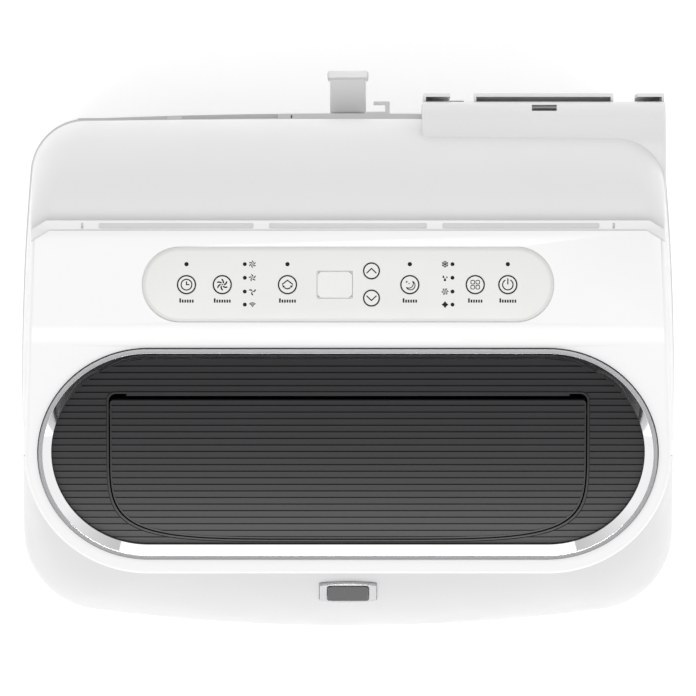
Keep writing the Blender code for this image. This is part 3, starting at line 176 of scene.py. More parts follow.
REAR_WALL_Y = (110.0, 140.0)  # from inside the rear wall to outside it
LEFT_WALL_X = (-185.0, -160.0)  # from outside the left wall to inside it
BEYOND = 190.0  # farther out than any side of the cabinet
REAR_GRILLE_X = (-147.0, -33.0)
REAR_GRILLE_Z = (345.0, 552.0)
SIDE_GRILLE_Y = (-16.0, 84.0)
SIDE_GRILLE_Z = (345.0, 552.0)
LOWER_GRILLE_X = (-120.0, 120.0)
LOWER_GRILLE_Z = (120.0, 290.0)
LOWER_SLOTS = 12
GRILLE_THICK = 3.0
MOST_GRILLE_FALL = 2.0  # how much of its thickness the rear grille may lose to the shell's crown
SHELF_RECESS_X = ((-150.6, -98.0), (-90.0, -38.0))
SHELF_RECESS_Y = ((-14.8, 37.8), (44.3, 96.9))
SHELF_SLIT_X = (-31.0, -30.2)
SHELF_SLIT_Y = (124.0, 126.2)
DRAIN_RADIUS = 6.3
DRAINS = ((0.0, 325.0), (0.0, 70.0))

# -------------------------------- geometry helpers


def between(a, b, share):
    return a + (b - a) * share


def polar(radius, angle, centre=(0.0, 0.0)):
    return centre[0] + radius * math.cos(angle), centre[1] + radius * math.sin(angle)


def sweep(start, end, steps):
    """Angles in radians from start to end, given in degrees."""
    return [math.radians(between(start, end, i / steps)) for i in range(steps + 1)]


def box(xs, ys, zs):
    """The low and high corners of a box with these spans."""
    return (xs[0], ys[0], zs[0]), (xs[1], ys[1], zs[1])


def reflected(half):
    """A right half of (x, y) points, followed by its mirror image in reverse."""
    return half + [(-x, y) for x, y in reversed(half)]


# -------------------------------- mesh helpers


def place(name, data, mat=None, at=(0, 0, 0), turn=(0, 0, 0)):
    obj = bpy.data.objects.new(name, data)
    obj.location = [c * MM for c in at]
    obj.rotation_euler = turn
    if mat:
        data.materials.append(mat)
    bpy.context.scene.collection.objects.link(obj)
    return obj


def finish_mesh(name, bm):
    bmesh.ops.recalc_face_normals(bm, faces=bm.faces)
    data = bpy.data.meshes.new(name)
    bm.to_mesh(data)
    bm.free()
    return data


def box_into(bm, low, high):
    made = bmesh.ops.create_cube(bm, size=1.0)["verts"]
    bmesh.ops.scale(bm, vec=[(h - l) * MM for l, h in zip(low, high)], verts=made)
    bmesh.ops.translate(bm, vec=[(l + h) / 2 * MM for l, h in zip(low, high)], verts=made)


def blocks(name, boxes, mat=None):
    bm = bmesh.new()
    for low, high in boxes:
        box_into(bm, low, high)
    return place(name, finish_mesh(name, bm), mat)


def rod(name, start, end, radius, mat=None, sides=48):
    start, end = Vector(start) * MM, Vector(end) * MM
    length = (end - start).length
    bm = bmesh.new()
    bmesh.ops.create_cone(
        bm, cap_ends=True, segments=sides, radius1=radius * MM, radius2=radius * MM, depth=length
    )
    bmesh.ops.translate(bm, vec=(0, 0, length / 2), verts=bm.verts)
    turn = (end - start).to_track_quat("Z", "Y").to_euler()
    return place(name, finish_mesh(name, bm), mat, start / MM, turn)


def prism(name, outlines, low, high, mat=None, at=(0, 0, 0), turn=(0, 0, 0)):
    """A flat outline, with any holes, given thickness along its own Z from low to high."""
    curve = bpy.data.curves.new(name, "CURVE")
    curve.dimensions = "2D"
    curve.fill_mode = "BOTH"
    curve.extrude = (high - low) / 2 * MM
    for outline in outlines:
        spline = curve.splines.new("POLY")
        spline.points.add(len(outline) - 1)
        for point, (x, y) in zip(spline.points, outline):
            point.co = (x * MM, y * MM, 0, 1)
        spline.use_cyclic_u = True
    flat = bpy.data.objects.new(name + "_outline", curve)
    bpy.context.scene.collection.objects.link(flat)
    bpy.context.view_layer.update()
    graph = bpy.context.evaluated_depsgraph_get()
    data = bpy.data.meshes.new_from_object(flat.evaluated_get(graph))
    bpy.data.objects.remove(flat)
    bm = bmesh.new()
    bm.from_mesh(data)
    bmesh.ops.remove_doubles(bm, verts=bm.verts, dist=1e-6)
    bmesh.ops.dissolve_limit(bm, angle_limit=0.001, verts=bm.verts, edges=bm.edges)
    bmesh.ops.translate(bm, vec=(0, 0, (low + high) / 2 * MM), verts=bm.verts)
    return place(name, finish_mesh(name, bm), mat, at, turn)


def surface(name, rows, mat=None, closed_rows=False, closed_columns=False):
    """A sheet through rows of points."""
    bm = bmesh.new()
    grid = [[bm.verts.new([c * MM for c in point]) for point in row] for row in rows]
    row_steps = len(grid) if closed_rows else len(grid) - 1
    columns = len(grid[0]) if closed_columns else len(grid[0]) - 1
    for i in range(row_steps):
        upper = grid[(i + 1) % len(grid)]
        for j in range(columns):
            k = (j + 1) % len(grid[0])
            bm.faces.new((grid[i][j], grid[i][k], upper[k], upper[j]))
    data = bpy.data.meshes.new(name)
    bm.to_mesh(data)
    bm.free()
    return place(name, data, mat)


def apply_modifiers(obj):
    bpy.context.view_layer.update()
    graph = bpy.context.evaluated_depsgraph_get()
    data = bpy.data.meshes.new_from_object(obj.evaluated_get(graph))
    materials = list(obj.data.materials)
    obj.modifiers.clear()
    obj.data = data
    if not data.materials:
        for mat in materials:
            data.materials.append(mat)
    return obj


def combine(target, tools, operation):
    """Booleans with throwaway tools, applied at once."""
    for tool in tools:
        boolean = target.modifiers.new(operation.title(), "BOOLEAN")
        boolean.operation = operation
        boolean.object = tool
        boolean.solver = "EXACT"
    apply_modifiers(target)
    for tool in tools:
        bpy.data.objects.remove(tool)
    return target


def cut(target, *tools):
    return combine(target, tools, "DIFFERENCE")


def join(target, *tools):
    return combine(target, tools, "UNION")


def smooth(obj, degrees=30):
    obj.data.shade_smooth()
    obj.data.set_sharp_from_angle(angle=math.radians(degrees))
    return obj


def weighted_normals(obj):
    """Lets the large faces set the shading, so that only the narrow roundings look curved."""
    weigh = obj.modifiers.new("Weighted Normal", "WEIGHTED_NORMAL")
    weigh.mode = "FACE_AREA"
    weigh.weight = 50
    weigh.keep_sharp = True
    return obj


def add_bevel(obj, width, segments, degrees=None):
    """Rounds the edges sharper than this angle, or else each edge by its weight."""
    bevel = obj.modifiers.new("Bevel", "BEVEL")
    bevel.width = width * MM
    bevel.segments = segments
    bevel.limit_method = "ANGLE" if degrees else "WEIGHT"
    if degrees:
        bevel.angle_limit = math.radians(degrees)


def bevelled(obj, width, segments=3, degrees=35):
    """Rounds every edge sharper than this angle and shades the result smooth."""
    add_bevel(obj, width, segments, degrees)
    obj.data.shade_smooth()
    return weighted_normals(obj)


def is_top_edge(first, second):
    """An edge between a face that looks up and an upright wall, from the normals of the two."""
    upright, level = 0.35, 0.85
    ups = sorted((abs(first.z), abs(second.z)))
    return ups[0] < upright and ups[1] > level and max(first.z, second.z) > level


def round_top_edges(obj, width, segments):
    """Rounds the edges between faces that look up and their walls, and keeps the others sharp."""
    bm = bmesh.new()
    bm.from_mesh(obj.data)
    layer = bm.edges.layers.float.new("bevel_weight_edge")
    for face in bm.faces:
        face.smooth = True
    for edge in bm.edges:
        if len(edge.link_faces) == 2 and edge.calc_face_angle(0) > math.radians(30):
            edge.smooth = is_top_edge(*[face.normal for face in edge.link_faces])
            edge[layer] = 1.0 if edge.smooth else 0.0
    bm.to_mesh(obj.data)
    bm.free()
    add_bevel(obj, width, segments)
    return weighted_normals(obj)


def settle(obj):
    """Moves an object's place and turn into its mesh."""
    obj.data.transform(obj.matrix_basis)
    obj.matrix_basis = Matrix.Identity(4)
    return obj


def ride(obj, body, slot, *replaced):
    """Finishes a piece: the body it moves with and the nodes it stands for; its material slot is not
    used.
    """
    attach(obj, body)
    if replaced:
        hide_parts(*replaced)
    return obj


# -------------------------------- materials


class Nodes:
    """A material's node tree with short ways to add and link its nodes."""

    def __init__(self, name, colour, roughness, metallic=0.0):
        self.material = bpy.data.materials.new(name)
        self.material.use_nodes = True
        self.material.diffuse_color = (*colour, 1.0)
        self.tree = self.material.node_tree
        self.shader = self.tree.nodes["Principled BSDF"]
        self.colour, self.roughness = colour, roughness
        self.shader.inputs["Base Color"].default_value = (*colour, 1.0)
        self.shader.inputs["Roughness"].default_value = roughness
        self.shader.inputs["Metallic"].default_value = metallic
        self.position = self.tree.nodes.new("ShaderNodeTexCoord").outputs["Object"]

    def add(self, kind, **values):
        node = self.tree.nodes.new(kind)
        for key, value in values.items():
            if hasattr(node, key):
                setattr(node, key, value)
            else:
                node.inputs[key.replace("_", " ")].default_value = value
        return node

    def link(self, source, node, socket):
        self.tree.links.new(source, node.inputs[socket])

    def stretched(self, scale):
        """The object's coordinates, scaled per axis, for grain that runs one way."""
        mapping = self.add("ShaderNodeMapping")
        mapping.inputs["Scale"].default_value = scale
        self.link(self.position, mapping, "Vector")
        return mapping.outputs["Vector"]

    def noise(self, size_mm, detail=2.0, coordinates=None):
        """Noise with features of about this size."""
        node = self.add("ShaderNodeTexNoise", Scale=1000.0 / size_mm, Detail=detail)
        self.link(coordinates or self.position, node, "Vector")
        return node.outputs["Fac"]

    def spread(self, fac, low, high):
        node = self.add("ShaderNodeMapRange", From_Min=0.25, From_Max=0.75, To_Min=low, To_Max=high)
        self.link(fac, node, "Value")
        return node.outputs["Result"]

    def vary_roughness(self, fac, amount):
        varied = self.spread(fac, self.roughness - amount, self.roughness + amount)
        self.link(varied, self.shader, "Roughness")

    def blend(self, fac, first, second):
        """Colours the material with a mix of two colours."""
        mix = self.add("ShaderNodeMix", data_type="RGBA")
        mix.inputs["A"].default_value = (*first, 1.0)
        mix.inputs["B"].default_value = (*second, 1.0)
        self.link(fac, mix, "Factor")
        self.link(mix.outputs["Result"], self.shader, "Base Color")

    def vary_colour(self, fac, darkest):
        """Mixes the colour with a darker copy of itself."""
        self.blend(self.spread(fac, 0.0, 1.0), [c * darkest for c in self.colour], self.colour)

    def bump(self, fac, height_mm, strength=0.5):
        node = self.add("ShaderNodeBump", Strength=strength, Distance=height_mm * MM)
        self.link(fac, node, "Height")
        self.link(node.outputs["Normal"], self.shader, "Normal")


def moulded(name, colour, roughness, grain=0.5, depth=0.02, mottle=0.97, coat=0.0, specular=0.5):
    """Injection-moulded plastic: fine spark-eroded grain, faint flow marks and handling haze."""
    nodes = Nodes(name, colour, roughness)
    nodes.vary_roughness(nodes.noise(22.0, 3.0), 0.05)
    nodes.vary_colour(nodes.noise(60.0, 2.0), mottle)
    nodes.bump(nodes.noise(grain, 2.0), depth, 0.35)
    nodes.shader.inputs["Specular IOR Level"].default_value = specular
    nodes.shader.inputs["Coat Weight"].default_value = coat
    nodes.shader.inputs["Coat Roughness"].default_value = 0.2
    return nodes.material


# The lighter front of the vent panel and its flap is a painted sheen, standing in for a reflection of
# the studio light.
PAINTED_SHEEN_POWER = 2.5  # above 1, most of the change comes near the front edge


def sheen_painted_plastic(name, back, front, back_y, front_y):
    """Dark plastic with a painted sheen that lightens it towards its front edge; both ends are in its
    own millimetres.
    """
    nodes = Nodes(name, back, 0.5)
    nodes.shader.inputs["Specular IOR Level"].default_value = 0.12
    split = nodes.add("ShaderNodeSeparateXYZ")
    nodes.link(nodes.position, split, "Vector")
    ramp = nodes.add("ShaderNodeMapRange", From_Min=back_y * MM, From_Max=front_y * MM)
    nodes.link(split.outputs["Y"], ramp, "Value")
    late = nodes.add("ShaderNodeMath", operation="POWER")
    late.inputs[1].default_value = PAINTED_SHEEN_POWER
    nodes.link(ramp.outputs["Result"], late, 0)
    nodes.blend(late.outputs["Value"], back, front)
    nodes.vary_roughness(nodes.noise(22.0, 3.0), 0.05)
    nodes.bump(nodes.noise(0.4, 2.0), 0.006, 0.35)
    return nodes.material


def polished_metal(name, colour, roughness, smear=0.02):
    nodes = Nodes(name, colour, roughness, 1.0)
    nodes.vary_roughness(nodes.noise(9.0, 4.0), smear)
    nodes.bump(nodes.noise(0.4, 2.0), 0.0005, 0.05)
    return nodes.material


def satin_metal(name, colour, roughness):
    """Fine blasted plating: an even grain too small to see as blotches."""
    nodes = Nodes(name, colour, roughness, 1.0)
    nodes.vary_roughness(nodes.noise(0.5, 2.0), 0.02)
    nodes.vary_colour(nodes.noise(0.4, 2.0), 0.97)
    nodes.bump(nodes.noise(0.25, 2.0), 0.002, 0.15)
    return nodes.material


def brushed_metal(name, colour, roughness, direction):
    """Fine straight brushing: noise stretched along one axis."""
    nodes = Nodes(name, colour, roughness, 1.0)
    grain = nodes.noise(0.35, 3.0, nodes.stretched(direction))
    nodes.vary_roughness(grain, 0.08)
    nodes.vary_colour(grain, 0.86)
    nodes.bump(grain, 0.01, 0.4)
    return nodes.material


def ink(name, colour):
    nodes = Nodes(name, colour, 0.6)
    nodes.shader.inputs["Specular IOR Level"].default_value = 0.2
    nodes.vary_roughness(nodes.noise(0.8, 2.0), 0.06)
    nodes.vary_colour(nodes.noise(0.5, 2.0), 0.8)
    return nodes.material


def rubbery(name, colour, roughness=0.75):
    nodes = Nodes(name, colour, roughness)
    nodes.vary_roughness(nodes.noise(4.0, 3.0), 0.08)
    nodes.vary_colour(nodes.noise(12.0, 4.0), 0.7)
    nodes.bump(nodes.noise(0.9, 4.0), 0.05, 0.5)
    return nodes.material


def filter_cloth(name):
    """Woven nylon mesh: two crossed waves of thread, dark in the gaps."""
    nodes = Nodes(name, (0.09, 0.09, 0.10), 0.8)
    total = None
    for axis in ("X", "Z"):
        wave = nodes.add("ShaderNodeTexWave", wave_type="BANDS", bands_direction=axis, Scale=170.0)
        nodes.link(nodes.position, wave, "Vector")
        if total is None:
            total = wave.outputs["Fac"]
            continue
        top = nodes.add("ShaderNodeMath", operation="MAXIMUM")
        nodes.link(total, top, 0)
        nodes.link(wave.outputs["Fac"], top, 1)
        total = top.outputs["Value"]
    nodes.vary_colour(total, 0.25)
    nodes.bump(total, 0.3, 0.8)
    return nodes.material


def finned(name):
    """Stacked fin stock: thin vertical fins 1.6 mm apart."""
    nodes = Nodes(name, (0.72, 0.73, 0.74), 0.35, 1.0)
    wave = nodes.add("ShaderNodeTexWave", wave_type="BANDS", bands_direction="X", Scale=196.0)
    nodes.link(nodes.position, wave, "Vector")
    nodes.vary_colour(wave.outputs["Fac"], 0.2)
    nodes.bump(wave.outputs["Fac"], 0.8, 1.0)
    return nodes.material


# The cover, rear shell and front panel share one white plastic: the shell's and the front panel's
# darker copies of the cover's white are painted shade on their sloping faces.
SHELL_SHADED_WHITE = moulded("fine_white_plastic", (0.72, 0.72, 0.725), 0.38, 0.45, 0.012, 0.985)
COVER_WHITE = moulded("fine_cover_plastic", (0.86, 0.86, 0.865), 0.36, 0.45, 0.008, 0.99)
TRIM = moulded("fine_white_trim", (0.80, 0.80, 0.805), 0.42, 0.6, 0.02, 0.975)
FRONT_SHADED_WHITE = moulded("fine_front_plastic", (0.65, 0.65, 0.655), 0.38, 0.45, 0.012, 0.985)
# Painted shade for the floors of the ledge's slots.
SLOT_FLOOR_SHADE_GREY = moulded("slot_floor_painted_shade", (0.62, 0.62, 0.625), 0.42, 0.6, 0.02, 0.975)
DARK = moulded("fine_dark_plastic", (0.035, 0.035, 0.037), 0.5, 0.4, 0.006, 0.9, specular=0.25)
VENT_ENDS = (BEZEL_RADIUS, -BEZEL_RADIUS)
# The vent plastic's lightening towards the front is a painted sheen.
VENT_PAINTED_SHEEN = sheen_painted_plastic("vent_plastic_painted_sheen", (0.030, 0.030, 0.032), (0.145, 0.145, 0.147), *VENT_ENDS)
# The grooves' darker copy of the vent plastic is painted shade, with the same painted sheen towards
# the front.
GROOVE_PAINTED_SHADE = sheen_painted_plastic("groove_painted_shade", (0.010, 0.010, 0.010), (0.060, 0.060, 0.062), *VENT_ENDS)
# Near-black painted shade: the air duct and the outlet ring's walls take it to stand for the shade in
# their gaps.
DUCT_SHADE_BLACK = moulded("duct_painted_shade_black", (0.008, 0.008, 0.009), 0.55, 0.8, 0.02, 0.9)
GREY = moulded("fine_grey_plastic", (0.30, 0.30, 0.31), 0.5, 0.9, 0.04, 0.9)
OVERLAY = moulded("printed_overlay", (0.77, 0.775, 0.752), 0.42, 0.3, 0.006, 0.985)
KEY = moulded("key_cap_plastic", (0.77, 0.775, 0.752), 0.40, 0.3, 0.006, 0.985)
PRINT = ink("panel_print", (0.006, 0.006, 0.006))
PRINT_WHITE = ink("window_edge_print", (0.88, 0.88, 0.87))
WINDOW = moulded("display_pane", (0.80, 0.805, 0.785), 0.12, 0.3, 0.002, 0.99, 0.6)
CHROME = polished_metal("polished_chrome", (0.88, 0.88, 0.89), 0.045, 0.008)
SATIN = satin_metal("satin_rim_metal", (0.25, 0.25, 0.256), 0.3)
TRIM_METAL = brushed_metal("brushed_bezel", (0.55, 0.55, 0.56), 0.28, (1.0, 0.1, 0.1))
SMOKED = moulded("receiver_pane", (0.04, 0.04, 0.042), 0.2, 0.3, 0.002, 0.9, 0.1)
FILTER = filter_cloth("nylon_filter_mesh")
FINS = finned("aluminium_fins")
COPPER = polished_metal("drawn_copper", (0.72, 0.40, 0.25), 0.28, 0.08)
SHEET_METAL = brushed_metal("zinc_sheet", (0.55, 0.56, 0.57), 0.42, (1.0, 0.3, 0.3))
ENAMEL = moulded("black_enamel", (0.025, 0.025, 0.025), 0.35, 1.2, 0.03, 0.8)
RUBBER = rubbery("matt_rubber", (0.035, 0.035, 0.036))

# -------------------------------- outlines of the cabinet


def skin_z(y):
    """Height of the top cover's skin: flat behind, tilted in front, with a soft bend between."""
    fall = math.tan(TILT)
    if y >= BEND_BACK_Y:
        return TOP_Z
    if y <= BEND_FRONT_Y:
        return TOP_Z - fall * ((BEND_BACK_Y + BEND_FRONT_Y) / 2 - y)
    return TOP_Z - fall * (BEND_BACK_Y - y) ** 2 / (2 * (BEND_BACK_Y - BEND_FRONT_Y))


def rim_z(y):
    return skin_z(y) - COVER_SKIRT - GAP


def outlet_point(v, w):
    """World (y, z) of a point in the tilted plane: v up the slope, w out of it."""
    y = OUTLET_Y + v * math.cos(TILT) - w * math.sin(TILT)
    z = OUTLET_Z + v * math.sin(TILT) + w * math.cos(TILT)
    return y, z


OUTLET_FRAME = {"at": (0, OUTLET_Y, OUTLET_Z), "turn": (TILT, 0, 0)}
SIDE_TURN = (math.pi / 2, 0, math.pi / 2)  # stands an outline up: its x runs along Y, its y along Z


def pill(half_straight, radius, steps=48, centre_y=0.0):
    right = sweep(-90, 90, steps)
    ends = [(half_straight, a) for a in right] + [(-half_straight, a + math.pi) for a in right]
    return [polar(radius, a, (x, centre_y)) for x, a in ends]


def rounded_rectangle(width, height, radius, steps=8, centre=(0.0, 0.0)):
    points = []
    for i, (sx, sy) in enumerate(((1, 1), (-1, 1), (-1, -1), (1, -1))):
        corner = (centre[0] + sx * (width / 2 - radius), centre[1] + sy * (height / 2 - radius))
        points += [polar(radius, a, corner) for a in sweep(90 * i, 90 * i + 90, steps)]
    return points


def cover_end(angle):
    """A point on the cover's rounded front end: 0 is its widest point and 90 its front."""
    x = between(OUTLET_STRAIGHT, COVER_END_X, math.cos(angle))
    return x, between(OUTLET_Y, COVER_FRONT_Y, math.sin(angle))


def side_x(y):
    return HALF_WIDTH - SIDE_CROWN * ((y - WIDEST_Y) / (SIDE_END_Y - WIDEST_Y)) ** 2


SIDE_FALL = side_x(SIDE_GRILLE_Y[0]) - side_x(SIDE_GRILLE_Y[1])
SIDE_SLANT = math.atan2(SIDE_FALL, SIDE_GRILLE_Y[1] - SIDE_GRILLE_Y[0])
REAR_CORNER = polar(-REAR_CORNER_RADIUS, SIDE_SLOPE, (side_x(SIDE_END_Y), SIDE_END_Y))
REAR_FACE_Y = REAR_CORNER[1] + REAR_CORNER_RADIUS


def front_columns(flat=20, end=40):
    """Right half of the front panel, from its middle: pairs of rim point and body point."""
    pairs = []
    for i in range(flat):
        a = CROWN_ANGLE * i / flat
        body = (CROWN_RADIUS * math.sin(a), FRONT_Y + CROWN_RADIUS * (1 - math.cos(a)))
        pairs.append(((OUTLET_STRAIGHT * i / flat, COVER_FRONT_Y), body))
    bend = CORNER_RADIUS * (math.pi / 2 - CROWN_ANGLE)
    side = SEAM_Y - GAP / 2 - FRONT_CORNER_Y
    widest = FRONT_CORNER_X + CORNER_RADIUS
    for i in range(end + 1):
        run = (bend + side) * i / end
        if run < bend:
            a = CROWN_ANGLE + run / CORNER_RADIUS
            x = FRONT_CORNER_X + CORNER_RADIUS * math.sin(a)
            body = (x, FRONT_CORNER_Y - CORNER_RADIUS * math.cos(a))
        else:
            x = between(widest, side_x(SEAM_Y), (run - bend) / side)
            body = (x, FRONT_CORNER_Y + run - bend)
        pairs.append((cover_end(math.radians(90 * (1 - i / end))), body))
    rim, body = pairs[-1]
    pairs[-1] = ((rim[0], SEAM_Y - GAP / 2), body)
    return pairs


def rear_columns(side=16, corner=16, back=24):
    """Right half of the rear shell, from the seam: triples of rim, shoulder and lower point."""
    start_y = SEAM_Y + GAP / 2
    triples = []
    for i in range(side):
        t = i / side
        rim = (between(COVER_END_X, COVER_EAR[0], t), between(start_y, COVER_EAR[1], t))
        y = between(start_y, SIDE_END_Y, t)
        shelf = between(*SHELF_WIDTH, t)
        triples.append((rim, (side_x(y) - shelf, y), (side_x(y), y)))
    for i in range(corner + 1):
        t = i / corner
        a = between(SIDE_SLOPE, math.pi / 2, t)
        rim = (between(COVER_EAR[0], COVER_CHAMFER_X, t), between(COVER_EAR[1], COVER_BACK_Y, t))
        radii = (REAR_CORNER_RADIUS - SHELF_WIDTH[1], REAR_CORNER_RADIUS)
        triples.append((rim, *[polar(r, a, REAR_CORNER) for r in radii]))
    for i in range(1, back + 1):
        t = i / back
        x = REAR_CORNER[0] * (1 - t)
        bulge = 1 - (x / REAR_CORNER[0]) ** 2
        upper = REAR_FACE_Y - SHELF_WIDTH[1] + UPPER_CROWN * bulge
        lower = REAR_FACE_Y + REAR_CROWN * bulge
        triples.append(((COVER_CHAMFER_X * (1 - t), COVER_BACK_Y), (x, upper), (x, lower)))
    return triples


def roll(rim, body, body_z, share):
    """A point on the rounded roll between a body wall (share 0) and the cover's rim (share 1)."""
    a = math.pi / 2 - (math.pi / 2 - ROLL_START) * share
    out = (math.sin(a) - math.sin(ROLL_START)) / (1 - math.sin(ROLL_START))
    up = math.cos(a) / math.cos(ROLL_START)
    x, y = between(rim[0], body[0], out), between(rim[1], body[1], out)
    return x, y, between(body_z, rim_z(rim[1]), up)


def mirrored(half):
    left = [(-p[0], *p[1:]) for p in reversed(half)]
    return left[:-1] + half if abs(half[0][0]) < 1e-6 else half[:-1] + left


def roll_rows(pairs, body_z, steps=24):
    """Rows of a shell from above its body wall to the cover's rim."""
    shares = [i / steps for i in range(1, steps + 1)]
    return [mirrored([roll(rim, body, body_z, share) for rim, body in pairs]) for share in shares]


# -------------------------------- cabinet


def shell(name, rows, mat):
    obj = surface(name, rows, mat)
    solidify = obj.modifiers.new("Solidify", "SOLIDIFY")
    solidify.thickness = WALL * MM
    solidify.offset = -1
    solidify.use_even_offset = True
    return apply_modifiers(obj)


def receiver_outline(width, height, bulge=1.6, steps=16):
    xs = [2 * i / steps - 1 for i in range(steps + 1)]
    bottom = [(width / 2 * x, -height / 2 + bulge * x**2) for x in xs]
    return bottom + [(-x, -y) for x, y in bottom]


def receiver_place():
    out = (RECEIVER_Y - COVER_FRONT_Y) / (FRONT_Y - COVER_FRONT_Y)
    rise = math.sin(ROLL_START) + out * (1 - math.sin(ROLL_START))
    up = math.sqrt(1 - rise**2) / math.cos(ROLL_START)
    return 0, RECEIVER_Y, between(FRONT_ROLL_Z, rim_z(COVER_FRONT_Y), up)


RECEIVER_FRAME = {"at": receiver_place(), "turn": (RECEIVER_TILT, 0, 0)}


def front_panel():
    pairs = front_columns()
    rows = [mirrored([(*body, z) for _, body in pairs]) for z in (SHELL_BOTTOM_Z, FRONT_ROLL_Z)]
    panel = shell("front_panel_shell", rows + roll_rows(pairs, FRONT_ROLL_Z), FRONT_SHADED_WHITE)
    outline = receiver_outline(RECEIVER_SIZE[0] + 2 * GAP, RECEIVER_SIZE[1] + 2 * GAP)
    cut(panel, prism("receiver_pocket", [outline], -RECEIVER_DEPTH, 5, None, **RECEIVER_FRAME))
    smooth(panel, 35)
    ride(panel, ROOT, "white_plastic", "front_panel")


def rear_rows():
    triples = rear_columns()
    lower = [(z, 2) for z in (SHELL_BOTTOM_Z, SHELF_Z - 0.6, SHELF_Z)]
    levels = [*lower, (SHELF_Z + 0.8, 1), (SHOULDER_Z, 1)]
    rows = [mirrored([(*triple[which], z) for triple in triples]) for z, which in levels]
    return rows + roll_rows([triple[:2] for triple in triples], SHOULDER_Z)


def housing_block(name, inset, xs, front_y, edge_radius=0.0, steps=16):
    """The hose housing's space, moved inwards: square but for its rounded upper back edge."""
    back, top = HOUSING_Y[1] - inset, HOUSING_Z[1] - inset
    radius, bottom = HOUSING_ROUND - inset, HOUSING_Z[0] + inset
    edge = [polar(radius, a, (back - radius, top - radius)) for a in sweep(0, 90, steps)]
    outline = [(front_y, bottom), (back, bottom), *edge, (front_y, top)]
    obj = prism(name, [outline], *xs, None, turn=SIDE_TURN)
    if edge_radius:
        add_bevel(obj, edge_radius, 4, 45)
        apply_modifiers(obj)
    return obj


def hose_rails():
    """Two slide rails beside the hose hole, open at the top for its adapter, and a catch above."""
    lip, whole = (RAIL_BACK_Y - 2.0, RAIL_BACK_Y), (HOUSING_Y[1] - 1.0, RAIL_BACK_Y)
    reach, wall = 14.6, 1.4
    spans = []
    for outer, inward in ((HOUSING_X[0] + 0.7, 1), (HOUSING_X[1] - 0.7, -1)):
        wall_x = sorted((outer, outer + inward * wall))
        lip_x = sorted((outer, outer + inward * reach))
        spans += [(wall_x, whole, RAIL_Z), (lip_x, lip, RAIL_Z)]
        spans.append((lip_x, whole, (RAIL_Z[0], RAIL_Z[0] + 2.0)))
    x0, x1 = CATCH_X
    spans += [
        (CATCH_X, lip, CATCH_Z),
        ((x0, x0 + wall), whole, CATCH_Z),
        ((x1 - wall, x1), whole, CATCH_Z),
        (CATCH_X, whole, (CATCH_Z[0], CATCH_Z[0] + 1.2)),
    ]
    return [blocks(f"rail_{i}", [box(*span)]) for i, span in enumerate(spans)]


def grip_block(name, side, grow, reach):
    xs = sorted((side * (GRIP_DEPTH_X - grow), side * reach))
    ys, zs = [(span[0] - grow, span[1] + grow) for span in (GRIP_Y, GRIP_Z)]
    return blocks(name, [box(xs, ys, zs)])


def shell_openings():
    """Grille openings, the lower half's vents, the adapter's latch hole and the drain holes."""
    boxes = [
        box(REAR_GRILLE_X, REAR_WALL_Y, REAR_GRILLE_Z),
        box(LEFT_WALL_X, SIDE_GRILLE_Y, SIDE_GRILLE_Z),
    ]
    half_bar = 3
    x0, x1 = LOWER_GRILLE_X
    pitch = (LOWER_GRILLE_Z[1] - LOWER_GRILLE_Z[0]) / LOWER_SLOTS
    for i in range(LOWER_SLOTS):
        z = LOWER_GRILLE_Z[0] + pitch * i
        slot = (z, z + pitch * 0.6)
        boxes += [box(xs, REAR_WALL_Y, slot) for xs in ((x0, -half_bar), (half_bar, x1))]
    boxes.append(box(LATCH_X, LATCH_Y, (HOUSING_Z[1] - 30, HOUSING_Z[1] + 5)))
    for x, z in DRAINS:
        spans = [(c - DRAIN_RADIUS, c + DRAIN_RADIUS) for c in (x, z)]
        boxes.append(box(spans[0], REAR_WALL_Y, spans[1]))
    return boxes


def shelf_recesses():
    """Finger recesses in the shelf over both grilles, and a slit beside them."""
    depth = (SHELF_Z - 3.0, SHELF_Z + 0.6)
    ys = (REAR_FACE_Y - 0.6, REAR_FACE_Y + 8.4)
    tools = []
    for i, xs in enumerate(SHELF_RECESS_X):
        tools.append(blocks(f"shelf_recess_{i}", [box(xs, ys, depth)]))
    into, past = 1.1, 4.0
    for i, (a, b) in enumerate(SHELF_RECESS_Y):
        inner = [(into - side_x(y), y) for y in (a, b)]
        outer = [(-past - side_x(y), y) for y in (b, a)]
        tools.append(prism(f"side_recess_{i}", [inner + outer], *depth))
    tools.append(blocks("shelf_slit", [box(SHELF_SLIT_X, SHELF_SLIT_Y, depth)]))
    return tools


def rear_shell():
    body = shell("rear_shell_fine", rear_rows(), SHELL_SHADED_WHITE)
    join(body, housing_block("housing", 0.0, HOUSING_X, HOUSING_Y[0], 1.6))
    join(body, *hose_rails())
    for side in (-1, 1):
        join(body, grip_block("grip_cup", side, WALL, GRIP_CUP_X))
    for side in (-1, 1):
        cut(body, grip_block("grip_hollow", side, 0.0, BEYOND))
    inner_x = (HOUSING_X[0] + WALL, HOUSING_X[1] - 6.5)
    cut(body, housing_block("housing_inside", WALL, inner_x, HOUSING_Y[0] - 10))
    cut(body, blocks("hose_hole", [box(HOSE_HOLE_X, HOSE_HOLE_Y, HOSE_HOLE_Z)]))
    cut(body, *shelf_recesses())
    cut(body, blocks("shell_openings", shell_openings()))
    smooth(body, 32)
    ride(body, ROOT, "white_plastic", "rear_shell")


# -------------------------------- top cover and receiver


